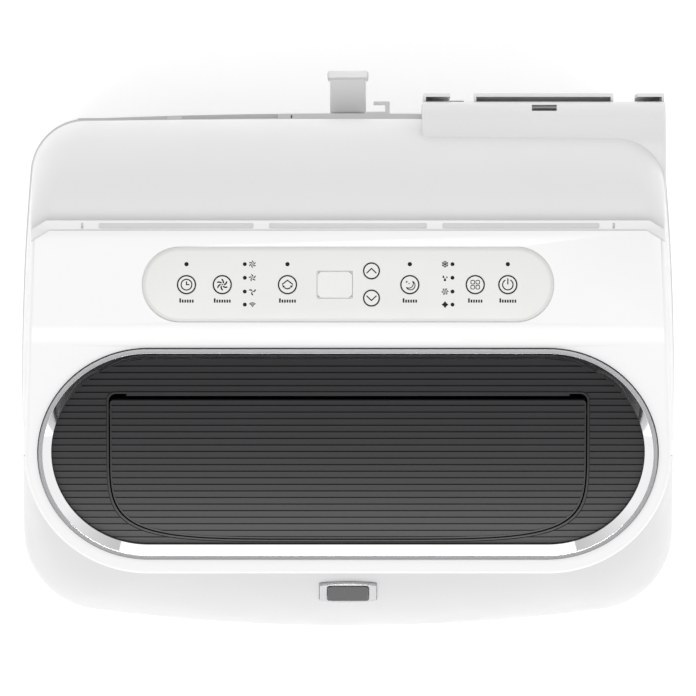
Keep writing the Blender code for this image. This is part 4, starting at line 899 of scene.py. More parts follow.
def cover_outline(inset=0.0, steps=48):
    """The cover's plan outline, moved inwards."""
    right = [(COVER_CHAMFER_X, COVER_BACK_Y), COVER_EAR, *map(cover_end, sweep(0, 90, steps))]
    middle = (COVER_BACK_Y + COVER_FRONT_Y) / 2
    half = COVER_BACK_Y - middle
    shrink_x, shrink_y = 1 - inset / COVER_END_X, 1 - inset / half
    return [(x * shrink_x, middle + (y - middle) * shrink_y) for x, y in reflected(right)]


def cover_layer(name, top_drop, bottom_drop, inset):
    """The space under the cover's skin, between two depths and inside an inset outline."""
    bend = [between(BEND_FRONT_Y, BEND_BACK_Y, i / 8) for i in range(9)]
    ys = [COVER_SPACE_Y[0], *bend, COVER_SPACE_Y[1]]
    top = [(y, skin_z(y) - top_drop) for y in ys]
    bottom = [(y, skin_z(y) - bottom_drop) for y in reversed(ys)]
    layer = prism(name, [top + bottom], -BEYOND, BEYOND, None, turn=SIDE_TURN)
    plan = prism(name + "_plan", [cover_outline(inset)], *COVER_SPACE_Z)
    return combine(layer, [plan], "INTERSECT")


def ledge_edge():
    """Right half of the line where the cover's main face ends and its rear ledge begins."""
    return [(LEDGE_CORNER_X, COVER_BACK_Y - LEDGE_WIDTH), LEDGE_END, (BEYOND, LEDGE_END[1])]


def paint_ledge(cover, slot_floor):
    """Gives the ledge a slightly darker white and the floors of its slots a pale grey, both painted
    shade on the cover's white plastic.
    """
    for mat in (TRIM, SLOT_FLOOR_SHADE_GREY):
        cover.data.materials.append(mat)
    for face in cover.data.polygons:
        height, back = face.center.z / MM, face.center.y / MM
        if back < LEDGE_END[1] or face.normal.z < 0.9 or height > TOP_Z - 1.0:
            continue
        face.material_index = 2 if height < slot_floor + 0.2 else 1


def top_cover():
    cover = cover_layer("top_cover_skin", 0, COVER_SKIRT, 0)
    settle(cover)
    apply_modifiers(round_top_edges(cover, 2.2, 6))
    cover.data.materials.append(COVER_WHITE)
    inside = cover_layer("cover_inside", COVER_SKIN, COVER_SKIRT + 20, 2.6)
    far = [(side * BEYOND, COVER_SPACE_Y[1]) for side in (1, -1)]
    ledge = [(-x, y) for x, y in reversed(ledge_edge())] + ledge_edge() + far
    ledge_cut = prism("ledge_cut", [ledge], TOP_Z - LEDGE_DROP, TOP_Z + 10)
    (low, high), floor = LEDGE_SLOT_Y, TOP_Z - LEDGE_DROP - 1.0
    slots = []
    for i, (a, b) in enumerate(LEDGE_SLOTS):
        outline = rounded_rectangle(b - a, high - low, 1.0, centre=((a + b) / 2, (low + high) / 2))
        slots.append(prism(f"ledge_slot_{i}", [outline], floor, TOP_Z + 2))
    notch_z = (floor - 0.6, TOP_Z + 2)
    middles = (-LEDGE_NOTCH_X, LEDGE_NOTCH_X)
    notches = [box((x - 0.6, x + 0.6), LEDGE_SLOT_Y, notch_z) for x in middles]
    hole = prism("outlet_hole", [pill(OUTLET_STRAIGHT, RING_OUTER + GAP)], -30, 30, **OUTLET_FRAME)
    recess = [pill(PANEL_HALF - PANEL_RADIUS, PANEL_RADIUS + GAP, centre_y=PANEL_Y)]
    recess_cut = prism("panel_recess", recess, TOP_Z - PANEL_RECESS, TOP_Z + 5)
    cut(cover, inside, ledge_cut, *slots, blocks("ledge_notches", notches), hole, recess_cut)
    paint_ledge(cover, floor)
    round_top_edges(cover, 0.4, 3)
    ride(cover, ROOT, "white_plastic", "top_cover")


def receiver():
    width, height = RECEIVER_WINDOW
    outer = receiver_outline(*RECEIVER_SIZE)
    low = GAP - RECEIVER_DEPTH
    bezel = prism("receiver_bezel_fine", [outer], low, 1.0, TRIM_METAL, **RECEIVER_FRAME)
    hole = rounded_rectangle(width + 2 * GAP, height + 2 * GAP, 2.0)
    cut(bezel, prism("receiver_hole", [hole], 0.0, 5.0, None, **RECEIVER_FRAME))
    bevelled(bezel, 0.35)
    ride(bezel, ROOT, "metal_trim", "receiver_bezel")
    pane = [rounded_rectangle(width, height, 2.0)]
    window = prism("receiver_pane", pane, GAP, 1.3, SMOKED, **RECEIVER_FRAME)
    bevelled(window, 0.25)
    ride(window, ROOT, "dark_plastic", "receiver_window")


# -------------------------------- outlet


def pill_ring(name, profile, mats):
    """A closed ring round the pill outline; its section is (offset, height, material index)."""
    rows = [[(x, y, w) for x, y in pill(OUTLET_STRAIGHT, r, 64)] for r, w, _ in profile]
    ring = surface(name, rows, None, closed_rows=True, closed_columns=True)
    for mat in mats:
        ring.data.materials.append(mat)
    columns = len(rows[0])
    for face in ring.data.polygons:
        face.material_index = profile[face.index // columns][2]
    ring.location = Vector(OUTLET_FRAME["at"]) * MM
    ring.rotation_euler = OUTLET_FRAME["turn"]
    return ring


def arc(centre, radius, start, end, steps, mat):
    """Points of an arc in a ring's section, with the material of the band after each."""
    return [(*polar(radius, a, centre), mat) for a in sweep(start, end, steps)]


def outlet_ring():
    """A satin rim, a polished chamfer that falls from it, and near-black walls inside and outside it
    and at the chamfer's foot: painted shade in its gaps to the vent panel and the cover.
    """
    bottom = BEZEL_TOP + GAP
    satin, chrome, shade_band = 0, 1, 2
    edge = 0.3
    shade_band_width = 0.4
    profile = [
        (RING_INNER, bottom, satin),
        (RING_OUTER, bottom, shade_band),
        *arc((RING_OUTER - edge, RING_TOP - edge), edge, 0, 90, 4, satin),
        *arc((RING_RIM + edge, RING_TOP - edge), edge, 90, 140, 4, chrome),
        (RING_INNER + shade_band_width, RING_STEP + 0.1, shade_band),
        (RING_INNER, RING_STEP, shade_band),
    ]
    ring = pill_ring("outlet_ring_fine", profile, (SATIN, CHROME, DUCT_SHADE_BLACK))
    weighted_normals(smooth(ring, 24))
    ride(ring, ROOT, "chrome", "outlet_ring")


def flap_outline(gap=0.0, back_gap=0.0, corner=4.0, steps=28):
    """The flap's outline, grown by a gap: square behind, a superellipse in front."""
    half = FLAP_HALF + gap
    depth = FLAP_WAIST - FLAP_FRONT + gap
    front = []
    for a in sweep(-90, 90, steps * 2):
        x = math.copysign(abs(math.sin(a)) ** (2 / FLAP_POWER), a) * half
        front.append((x, FLAP_WAIST - abs(math.cos(a)) ** (2 / FLAP_POWER) * depth))
    back = FLAP_BACK + back_gap
    right = [polar(corner, a, (half - corner, back - corner)) for a in sweep(0, 90, 6)]
    return front + reflected(right)


def ribbed_slab(name, thick):
    """A slab in the outlet's plane; each rib along X has a sloping face, a soft edge and a groove."""
    one_rib = (
        (0.0, -0.55),
        (2.3, -0.06),
        (2.75, 0.0),
        (3.05, -0.06),
        (3.2, -0.25),
        (3.25, -GROOVE_DEPTH),
        (RIB_PITCH, -GROOVE_DEPTH),
    )
    count = math.ceil(BEZEL_RADIUS * 2 / RIB_PITCH) + 2
    start = -count / 2 * RIB_PITCH
    top = []
    for i in range(count):
        top += [(start + RIB_PITCH * i + v, BEZEL_TOP + w) for v, w in one_rib]
    bottom = [(top[-1][0], BEZEL_TOP - thick), (top[0][0], BEZEL_TOP - thick)]
    reach = OUTLET_STRAIGHT + BEZEL_RADIUS + 5
    bm = bmesh.new()
    ends = [
        [bm.verts.new((x * MM, v * MM, w * MM)) for v, w in top + bottom]
        for x in (-reach, reach)
    ]
    for i in range(len(ends[0])):
        k = (i + 1) % len(ends[0])
        bm.faces.new((ends[0][i], ends[1][i], ends[1][k], ends[0][k]))
    bm.faces.new(ends[0])
    bm.faces.new(reversed(ends[1]))
    return place(name, finish_mesh(name, bm), None, OUTLET_FRAME["at"], OUTLET_FRAME["turn"])


def paint_ribs(obj):
    """Gives a ribbed piece its plastic, and the walls and floors of its grooves a darker copy of it
    as painted shade.
    """
    obj.data.materials.clear()
    for mat in (VENT_PAINTED_SHEEN, GROOVE_PAINTED_SHADE):
        obj.data.materials.append(mat)
    for face in obj.data.polygons:
        depth = BEZEL_TOP - face.center.z / MM
        face.material_index = 1 if GROOVE_DEPTH / 2 < depth < GROOVE_DEPTH + 0.1 else 0
    return smooth(obj, 30)


def bezel_opening(grow):
    return flap_outline(FLAP_GAP + grow, FLAP_BACK_GAP + grow)


def vent_prism(name, outlines, depth=10, drop=-5):
    """A prism in the outlet's plane between two depths under the top of the vent panel."""
    return prism(name, outlines, BEZEL_TOP - depth, BEZEL_TOP - drop, None, **OUTLET_FRAME)


def vent_bezel():
    """Ribbed panel with a thin smooth lip round the flap's opening, set off by a groove."""
    bezel = ribbed_slab("vent_bezel_ribs", BEZEL_THICK)
    outlines = [pill(OUTLET_STRAIGHT, BEZEL_RADIUS), bezel_opening(BEZEL_LIP / 2)]
    combine(bezel, [vent_prism("bezel_plan", outlines)], "INTERSECT")
    lip = [bezel_opening(BEZEL_LIP), bezel_opening(-BEZEL_REACH)]
    join(bezel, vent_prism("bezel_lip", lip, BEZEL_THICK, 0.05))
    groove = [bezel_opening(BEZEL_LIP + BEZEL_GROOVE), bezel_opening(BEZEL_LIP)]
    cut(bezel, vent_prism("bezel_groove", groove, BEZEL_GROOVE_DEPTH))
    at_y, at_z = outlet_point(FLAP_BACK + BEZEL_RIDGE[1], BEZEL_TOP - BEZEL_GROOVE_DEPTH)
    ridge = blocks("bezel_ridge", [((-BEZEL_RIDGE[0], -0.9, -1.0), (BEZEL_RIDGE[0], 1.2, 1.0))])
    moved = Matrix.Translation(Vector((0, at_y, at_z)) * MM)
    ridge.matrix_basis = moved @ Matrix.Rotation(TILT, 4, "X")
    join(bezel, settle(ridge))
    paint_ribs(bezel)
    ride(bezel, ROOT, "dark_plastic", "vent_bezel")


def outlet_flap():
    """The swing flap: a ribbed plate with a smooth border, and an ear and a pin at each end."""
    flap = ribbed_slab("outlet_flap_ribs", FLAP_THICK)
    insets = (0.0, FLAP_BORDER / 2, FLAP_BORDER)
    outlines = [flap_outline(-inset, -inset, FLAP_CORNER) for inset in insets]
    combine(flap, [vent_prism("flap_plan", [outlines[1]])], "INTERSECT")
    join(flap, vent_prism("flap_border", [outlines[0], outlines[2]], FLAP_THICK, 0.03))
    v, w = FLAP_PIVOT
    top = BEZEL_TOP - 2
    ear = [(v - 6, w), (v - 3, w - 5), (v + 3, w - 5), (v + 6, w), (v + 6, top), (v - 6, top)]
    world = [outlet_point(*point) for point in ear]
    for side in (-1, 1):
        x = side * FLAP_EAR_X
        join(flap, prism(f"flap_ear_{side}", [world], x - 1.5, x + 1.5, None, turn=SIDE_TURN))
        pin = [(x, *outlet_point(v, w)), (x + side * FLAP_PIN, *outlet_point(v, w))]
        join(flap, rod(f"flap_pin_{side}", *pin, PIN_RADIUS, sides=32))
    paint_ribs(flap)
    ride(flap, "flap", "dark_plastic", "outlet_flap")


# -------------------------------- control panel

KEYS = {
    "timer": (-86.7, 34.0, 4.9),
    "speed": (-67.5, 34.0, 4.9),
    "swing": (-32.5, 34.0, 4.9),
    "up": (12.6, 41.4, 4.3),
    "down": (12.6, 26.8, 4.3),
    "sleep": (33.2, 34.0, 4.9),
    "mode": (68.3, 34.0, 4.9),
    "power": (85.8, 34.0, 4.9),
}
KEY_HOLE = 0.3
KEY_PROUD = 0.2
KEY_HEIGHT = 1.5
DISPLAY = (-7.1, 34.0, 18.5, 13.9)
PANEL_THICK = 1.7
PANEL_SLOPE = (1.7, 1.05)  # width and depth of the panel's sloping border
PANE_SEAT = 0.4  # how much wider and higher the display pane is than its CAD node
PANEL_SEAT = 0.25  # how far the panel's soft edge reaches into the gap round it
INK_HEIGHT = 0.02
LINE = 0.32
STROKE = 0.64
LABEL_Y = 25.3
LED_Y = 45.0
LED_RADIUS = 1.15
SPEED_COLUMN = (-55.4, -51.3)  # X of the dots and of the icons left of the swing key
MODE_COLUMN = (56.1, 52.1)
COLUMN_YS = (45.0, 37.7, 30.3, 23.3)


class Ink:
    """Flat printed marks gathered into one thin mesh, drawn in millimetres from a centre."""

    def __init__(self, centre=(0.0, 0.0)):
        self.bm = bmesh.new()
        self.centre = centre

    def fill(self, points):
        cx, cy = self.centre
        self.bm.faces.new([self.bm.verts.new(((cx + x) * MM, (cy + y) * MM, 0)) for x, y in points])

    def disc(self, x, y, radius, steps=24):
        self.fill([polar(radius, a, (x, y)) for a in sweep(0, 360, steps)[:-1]])

    def line(self, points, width=LINE):
        """A stroke with round ends and joints."""
        for (x0, y0), (x1, y1) in zip(points, points[1:]):
            run = math.hypot(x1 - x0, y1 - y0)
            nx, ny = -(y1 - y0) / run * width / 2, (x1 - x0) / run * width / 2
            near, far = (x0 - nx, y0 - ny), (x1 - nx, y1 - ny)
            self.fill([near, far, (x1 + nx, y1 + ny), (x0 + nx, y0 + ny)])
        for x, y in points:
            self.disc(x, y, width / 2, 10)

    def arc(self, radius, start=0, end=360, width=LINE, centre=(0, 0), steps=40):
        """A stroke along a circle, as one band with no overlap."""
        low, high = radius - width / 2, radius + width / 2
        angles = sweep(start, end, steps)
        for a, b in zip(angles, angles[1:]):
            corners = ((low, a), (high, a), (high, b), (low, b))
            self.fill([polar(r, t, centre) for r, t in corners])

    def finish(self, name, z, body, slot, mat):
        bmesh.ops.remove_doubles(self.bm, verts=self.bm.verts, dist=1e-7)
        for face in self.bm.faces:
            if face.normal.z < 0:
                face.normal_flip()
        data = bpy.data.meshes.new(name)
        self.bm.to_mesh(data)
        self.bm.free()
        obj = place(name, data, mat, (0, 0, z))
        return ride(obj, body, slot)


def rotated(points, degrees, at):
    """Points turned about the origin, then moved to this place."""
    c, s = math.cos(math.radians(degrees)), math.sin(math.radians(degrees))
    return [(at[0] + x * c - y * s, at[1] + x * s + y * c) for x, y in points]


def timer_icon(ink):
    ink.arc(2.87, width=STROKE)
    ink.line([(0, 1.6), (0, 0), (1.3, 0)], STROKE)


def swirl_icon(ink, size=2.8, blades=6, thick=0.75, x=0.0, y=0.0):
    """Short curved blades that sweep outwards round a hub."""
    ink.disc(x, y, size * 0.14)
    root, turn, steps = 0.42, 32, 4
    for k in range(blades):
        angles = sweep(360 / blades * k, 360 / blades * k + turn, steps)
        radii = [size * between(root, 1, i / steps) for i in range(steps + 1)]
        ink.line([polar(r, a, (x, y)) for r, a in zip(radii, angles)], thick)


def swing_icon(ink):
    """A wide roof above an arc with an arrow head at each end."""
    ink.line([(-2.75, 0.25), (0, 2.35), (2.75, 0.25)], STROKE)
    radius, end = 2.2, 39.5
    ink.arc(radius, 180 + end, 360 - end, STROKE, (0, 0), 20)
    for side in (-1, 1):
        ink.fill([(side * hx, hy) for hx, hy in ((1.25, -0.7), (2.95, -0.15), (2.4, -1.75))])


def chevron_icon(ink, up):
    ink.line([(-2.5, -1.1 * up), (0, 1.3 * up), (2.5, -1.1 * up)], STROKE)


def sleep_icon(ink):
    """An outlined crescent, open towards the upper left, with two small stars in its opening."""
    centre, radius = (0.35, -0.35), 2.45
    shift, inner_radius = 1.3, 2.42
    inner = polar(shift, math.radians(135), centre)
    points = [polar(radius, a, centre) for a in sweep(-150, 60, 20)]
    tips = (points[-1], points[0])
    first, last = [math.degrees(math.atan2(y - inner[1], x - inner[0])) for x, y in tips]
    points += [polar(inner_radius, a, inner) for a in sweep(first, last, 20)]
    ink.line([*points, points[0]], 0.5)
    star_icon(ink, 0.85, 4, -1.7, 1.5)
    star_icon(ink, 0.6, 4, -0.4, 0.6)


def star_icon(ink, size, points, x=0.0, y=0.0, waist=0.35):
    angles = sweep(90, 450, points * 2)[:-1]
    radii = [size, size * waist] * points
    ink.fill([polar(r, a, (x, y)) for r, a in zip(radii, angles)])


def mode_icon(ink):
    """Four outlined squares with rounded corners."""
    for x, y in ((-1.35, -1.35), (1.35, -1.35), (-1.35, 1.35), (1.35, 1.35)):
        square = rounded_rectangle(1.95, 1.95, 0.5, 4, (x, y))
        ink.line([*square, square[0]], 0.42)


def power_icon(ink):
    ink.arc(2.8, 118, 422, STROKE)
    ink.line([(0, 3.2), (0, 0.4)], STROKE)


def snowflake_icon(ink, x, y, size=1.7):
    for k in range(3):
        ink.line(rotated([(-size, 0), (size, 0)], 60 * k + 30, (x, y)), 0.4)
    for k in range(6):
        for side in (-1, 1):
            twig = [(size * 0.5, 0), (size * 0.85, side * size * 0.32)]
            ink.line(rotated(twig, 60 * k + 30, (x, y)), 0.32)


def petal_icon(ink, x, y, size=1.75, petals=6):
    """A ring of open curved petals."""
    petal = [(0.45, 0), (size * 0.75, 0.5), (size, 0.05), (size * 0.7, -0.25)]
    for k in range(petals):
        ink.line(rotated(petal, 360 / petals * k, (x, y)), 0.36)


def droplet_icon(ink, x, y, size):
    round_part = [polar(size * 0.6, a, (x, y - size * 0.3)) for a in sweep(-205, 25, 16)]
    ink.fill([*round_part, (x, y + size)])


def signal_icon(ink, x, y):
    """Three arcs over a dot."""
    ink.disc(x, y - 1.1, 0.34)
    for radius in (0.9, 1.55, 2.2):
        ink.arc(radius, 42, 138, 0.42, (x, y - 1.2), 10)


def label_bars(ink, x, length):
    """A row of short neutral bars in the place of a key's name."""
    wide, space, low, short, tall = 0.9, 0.45, -0.95, 0.65, 1.35
    count = max(1, round((length + space) / (wide + space)))
    start = x - (count * (wide + space) - space) / 2
    for i in range(count):
        left, top = start + i * (wide + space), tall if i == 0 else short
        corners = ((left, low), (left + wide, low), (left + wide, top), (left, top))
        ink.fill([(cx, LABEL_Y + cy) for cx, cy in corners])


ICONS = {
    "timer": timer_icon,
    "speed": swirl_icon,
    "swing": swing_icon,
    "up": lambda ink: chevron_icon(ink, 1),
    "down": lambda ink: chevron_icon(ink, -1),
    "sleep": sleep_icon,
    "mode": mode_icon,
    "power": power_icon,
}
LABELS = {"timer": 8.1, "speed": 8.9, "swing": 8.6, "sleep": 7.9, "mode": 7.8, "power": 8.8}


def overlay():
    """The printed panel: a pill with a sloping border and holes for the keys and the display."""
    low = PANEL_TOP_Z - PANEL_THICK
    slope_width, slope_depth = PANEL_SLOPE
    straight = PANEL_HALF - PANEL_RADIUS
    levels = [
        (PANEL_RADIUS, low),
        (PANEL_RADIUS + PANEL_SEAT, PANEL_TOP_Z - slope_depth - 0.1),
        (PANEL_RADIUS + PANEL_SEAT, PANEL_TOP_Z - slope_depth),
        (PANEL_RADIUS - slope_width, PANEL_TOP_Z - 0.04),
        (PANEL_RADIUS - slope_width - 0.4, PANEL_TOP_Z),
    ]
    rows = [[(x, y, z) for x, y in pill(straight, r, 48, PANEL_Y)] for r, z in levels]
    panel = surface("control_overlay", rows, None, closed_columns=True)
    bm = bmesh.new()
    bm.from_mesh(panel.data)
    bmesh.ops.holes_fill(bm, edges=[e for e in bm.edges if e.is_boundary])
    bmesh.ops.recalc_face_normals(bm, faces=bm.faces)
    bm.to_mesh(panel.data)
    bm.free()
    holes = [
        rod(f"{name}_hole", (x, y, low - 5), (x, y, PANEL_TOP_Z + 5), radius + KEY_HOLE, sides=64)
        for name, (x, y, radius) in KEYS.items()
    ]
    x, y, width, height = DISPLAY
    window = rounded_rectangle(width + 2 * GAP, height + 2 * GAP, 0.8, centre=(x, y))
    cut(panel, *holes, prism("display_hole", [window], low - 5, PANEL_TOP_Z + 5))
    panel.data.materials.clear()
    panel.data.materials.append(OVERLAY)
    smooth(panel, 30)
    ride(panel, ROOT, "panel_grey", "control_panel")


def key_caps():
    for name, (x, y, radius) in KEYS.items():
        top = PANEL_TOP_Z + KEY_PROUD
        cap = rod(f"{name}_key_cap", (x, y, top - KEY_HEIGHT), (x, y, top), radius, KEY, sides=64)
        bevelled(cap, 0.12, 2)
        ride(cap, f"{name}_key", "button_grey", f"{name}_button")
        ink = Ink((x, y))
        ink.arc(radius - 0.15, width=0.66, steps=64)
        ICONS[name](ink)
        ink.finish(f"{name}_key_print", top + INK_HEIGHT, f"{name}_key", "dark_plastic", PRINT)


def display():
    x, y, width, height = DISPLAY
    outline = [rounded_rectangle(width + PANE_SEAT, height + PANE_SEAT, 0.6, centre=(x, y))]
    pane = prism("display_pane", outline, PANEL_TOP_Z - PANEL_THICK, PANEL_TOP_Z, WINDOW)
    bevelled(pane, 0.15)
    ride(pane, ROOT, "display_glass", "display_window")
    ink = Ink((x, y))
    edge = rounded_rectangle(width - 0.5, height - 0.5, 1.0)
    ink.line([*edge, edge[0]], 0.34)
    ink.finish("display_frame_print", PANEL_TOP_Z + INK_HEIGHT, ROOT, "panel_grey", PRINT_WHITE)


def indicators():
    """Lamps above four keys, and a column of four lamps with their icons on each side."""
    ink = Ink()
    for name in ("timer", "swing", "sleep", "power"):
        ink.disc(KEYS[name][0], LED_Y, LED_RADIUS)
    for dots, _ in (SPEED_COLUMN, MODE_COLUMN):
        for y in COLUMN_YS:
            ink.disc(dots, y, LED_RADIUS * 0.92)
    x = SPEED_COLUMN[1]
    for y, blades, thick in zip(COLUMN_YS, (6, 5, 3), (0.5, 0.56, 0.68)):
        swirl_icon(ink, 1.75, blades, thick, x, y)
    signal_icon(ink, x, COLUMN_YS[3])
    x = MODE_COLUMN[1]
    snowflake_icon(ink, x, COLUMN_YS[0])
    for dx, dy, size in ((-0.9, 0.6, 0.85), (1.0, 0.35, 0.65), (-0.05, -0.95, 1.05)):
        droplet_icon(ink, x + dx, COLUMN_YS[1] + dy, size)
    petal_icon(ink, x, COLUMN_YS[2])
    star_icon(ink, 1.9, 4, x, COLUMN_YS[3], 0.6)
    for name, length in LABELS.items():
        label_bars(ink, KEYS[name][0], length)
    ink.finish("panel_print", PANEL_TOP_Z + INK_HEIGHT, ROOT, "dark_plastic", PRINT)


# -------------------------------- grilles, hooks and casters


def follow_shell(bm, half_w, half_t, centre_x, steps=12):
    """Thins a rear panel from its outer side, so that its face follows the crown of the shell."""
    for i in range(1, steps):
        everything = bm.verts[:] + bm.edges[:] + bm.faces[:]
        cut_x = (2 * i / steps - 1) * half_w * MM
        bmesh.ops.bisect_plane(bm, geom=everything, plane_co=(cut_x, 0, 0), plane_no=(1, 0, 0))
    for vertex in bm.verts:
        fall = REAR_CROWN * ((vertex.co.x / MM + centre_x) / REAR_CORNER[0]) ** 2
        share = (vertex.co.y / MM + half_t) / (2 * half_t)
        vertex.co.y -= min(fall, MOST_GRILLE_FALL) * share * MM


def louvre_panel(name, width, height, thick, rows, columns, mat, rear_x=None):
    """A framed panel in its own XZ plane round the origin, with tilted slats and upright bars."""
    margin, bar = 7.0, 4.0
    bm = bmesh.new()
    half_w, half_h, half_t = width / 2, height / 2, thick / 2
    in_w, in_h = half_w - margin, half_h - margin
    for zs in ((-half_h, -in_h), (in_h, half_h)):
        box_into(bm, *box((-half_w, half_w), (-half_t, half_t), zs))
    column = (2 * in_w + bar) / columns
    uprights = [(-half_w, margin), (in_w, margin)]
    uprights += [(column * i - in_w - bar, bar) for i in range(1, columns)]
    for x, wide in uprights:
        box_into(bm, *box((x, x + wide), (-half_t, half_t), (-in_h - 1, in_h + 1)))
    pitch = 2 * in_h / rows
    face_y = half_t - 0.2
    slat = [(side * face_y, side * pitch * share) for side in (-1, 1) for share in (0.42, 0.1)]
    for row in range(rows):
        z = pitch * (row + 0.5) - in_h
        left, right = [
            [bm.verts.new((x * MM, y * MM, (z + dz) * MM)) for y, dz in slat]
            for x in (-in_w - 1, in_w + 1)
        ]
        for i in range(4):
            k = (i + 1) % 4
            bm.faces.new((left[i], left[k], right[k], right[i]))
        bm.faces.new(left)
        bm.faces.new(right)
    if rear_x is not None:
        follow_shell(bm, half_w, half_t, rear_x)
    panel = place(name, finish_mesh(name, bm), mat)
    return bevelled(panel, 0.3, 2)


def grille_from(node, name, rows, columns, body, turn_z, slant=0.0):
    """A louvred panel that fills its CAD node, whose box is larger where the node stands aslant."""
    low, high = box_mm(node)
    size, centre = high - low, (high + low) / 2
    wide = size.x if turn_z == 0 else (size.y - GRILLE_THICK * math.sin(slant)) / math.cos(slant)
    rear_x = centre.x if turn_z == 0 else None
    panel = louvre_panel(name, wide, size.z, GRILLE_THICK, rows, columns, TRIM, rear_x)
    panel.rotation_euler = (0, 0, turn_z - slant)
    panel.location = centre * MM
    ride(panel, body, "white_trim_plastic", node)


def filter_from(node, name, body, turn_z):
    """A slim plastic frame with cross bars, and the nylon mesh stretched in it."""
    low, high = box_mm(node)
    size, centre = high - low, (high + low) / 2
    wide, thick = (size.x, size.y) if turn_z == 0 else (size.y, size.x)
    half_w, half_h, half_t = wide / 2, size.z / 2, thick / 2
    border, half_bar = 5.0, 1.2
    in_w, in_h = half_w - border, half_h - border
    across, upright = (-half_w, half_w), (-in_h, in_h)
    spans = [
        (across, (-half_h, -in_h)),
        (across, (in_h, half_h)),
        ((-half_w, -in_w), upright),
        ((in_w, half_w), upright),
        ((-half_bar, half_bar), upright),
    ]
    spans += [((-in_w, in_w), (z - half_bar, z + half_bar)) for z in (-half_h / 3, half_h / 3)]
    bars = [box(xs, (-half_t, half_t), zs) for xs, zs in spans]
    border_frame = bevelled(blocks(name + "_frame", bars, GREY), 0.3, 2)
    cloth = box((-in_w - 1, in_w + 1), (-0.3, 0.3), (-in_h - 1, in_h + 1))
    mesh = blocks(name + "_cloth", [cloth], FILTER)
    for piece, slot_name in ((border_frame, "grey_plastic"), (mesh, "filter_mesh")):
        piece.rotation_euler = (0, 0, turn_z)
        piece.location = centre * MM
        ride(piece, body, slot_name)
    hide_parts(node)


def turned(name, profile, mat, at, axis, sides=64):
    """A body turned from (radius, height) points, its own axis laid along X, Y or Z."""
    rows = [[(*polar(r, a), h) for r, h in profile] for a in sweep(0, 360, sides)[:-1]]
    obj = surface(name, rows, mat, closed_rows=True, closed_columns=True)
    obj.rotation_euler = {"X": (0, math.pi / 2, 0), "Y": (-math.pi / 2, 0, 0), "Z": (0, 0, 0)}[axis]
    obj.location = Vector(at) * MM
    return obj


def caster_wheel(place_name):
    """A tyre with a rounded tread on a grey hub with a dished face."""
    node = f"caster_wheel_{place_name}"
    low, high = box_mm(node)
    centre = (low + high) / 2
    radius, width = (high.z - low.z) / 2, high.x - low.x
    radius = min(radius, centre.z)
    shoulder = 2.0
    rim = radius * 0.66
    tyre = [(rim, 0.6), (radius - shoulder, 0.0)]
    tyre += [polar(shoulder, a, (radius - shoulder, shoulder)) for a in sweep(-75, 0, 5)]
    tyre += [(r, width - h) for r, h in reversed(tyre)]
    at = (low.x, centre.y, centre.z)
    outer = smooth(turned(f"{node}_tyre", tyre, RUBBER, at, "X"), 40)
    ride(outer, f"wheel_{place_name}", "rubber", node)
    hub = [(2.9, 0.4), (5.0, 0.4), (6.0, 2.2), (rim - 1.6, 2.2), (rim - 0.6, 0.8), (rim + 0.1, 0.8)]
    hub += [(r, width - h) for r, h in reversed(hub)]
    inner = smooth(turned(f"{node}_hub", hub, GREY, at, "X"), 30)
    ride(inner, f"wheel_{place_name}", "grey_plastic")


# -------------------------------- CAD nodes that stay, with their finishes

FINISHES = {
    # The air duct's near-black is painted shade in the gap behind the flap.
    "air_duct": (DUCT_SHADE_BLACK, 0.8),
    "air_vane": (DARK, 0.4),
    "vane_tie_bar": (GREY, 0.4),
    "flap_motor": (SHEET_METAL, 0.5),
    "base_pan": (GREY, 0.8),
    "partition_deck": (GREY, 0.8),
    "exhaust_duct": (DARK, 0.6),
    "evaporator_scroll": (GREY, 0.8),
    "condenser_scroll": (GREY, 0.8),
    "evaporator_blower": (GREY, 0.3),
    "condenser_blower": (GREY, 0.3),
    "evaporator_motor": (SHEET_METAL, 1.0),
    "condenser_motor": (SHEET_METAL, 1.0),
    "evaporator_coil": (FINS, 0.4),
    "condenser_coil": (FINS, 0.4),
    "compressor": (ENAMEL, 1.5),
    "suction_pipe": (COPPER, 0.3),
    "splash_motor": (SHEET_METAL, 0.8),
    "splash_wheel": (GREY, 0.4),
    "tank_float": (TRIM, 0.6),
    "control_box": (SHEET_METAL, 0.6),
    "caster_fork": (GREY, 0.5),
    "upper_cord_hook": (TRIM, 0.7),
    "lower_cord_hook": (TRIM, 0.7),
    "cord_clip": (TRIM, 0.4),
    "cord_gland": (RUBBER, 0.4),
    "upper_drain_cap": (RUBBER, 0.5),
    "lower_drain_plug": (RUBBER, 0.5),
}


WELD_DISTANCE = 0.01 * MM


def finish_cad_nodes():
    """Gives each CAD node that still shows its own material, welded corners and softened edges."""
    for node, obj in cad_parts.items():
        found = [key for key in FINISHES if node.startswith(key)]
        if not found:
            continue
        mat, radius = FINISHES[found[0]]
        obj.data.materials.clear()
        obj.data.materials.append(mat)
        weld = obj.modifiers.new("Weld", "WELD")
        weld.merge_threshold = WELD_DISTANCE
        bevelled(obj, radius, 3, 40)


# -------------------------------- floor, light and camera

CAMERA_HEIGHT = 15.0  # metres above the top cover
VIEW_WIDTH = 0.3736  # metres of the cover's plane that the picture spans
HORIZON_LIGHT = 1.0
ZENITH_LIGHT = 0.35
FLOOR_HALF = 6000.0
LAMPS = (  # name, strength, elevation, azimuth and softness
    ("overhead", 1.4, 74, 0, 26),
    ("behind", 0.25, 34, 180, 40),
)


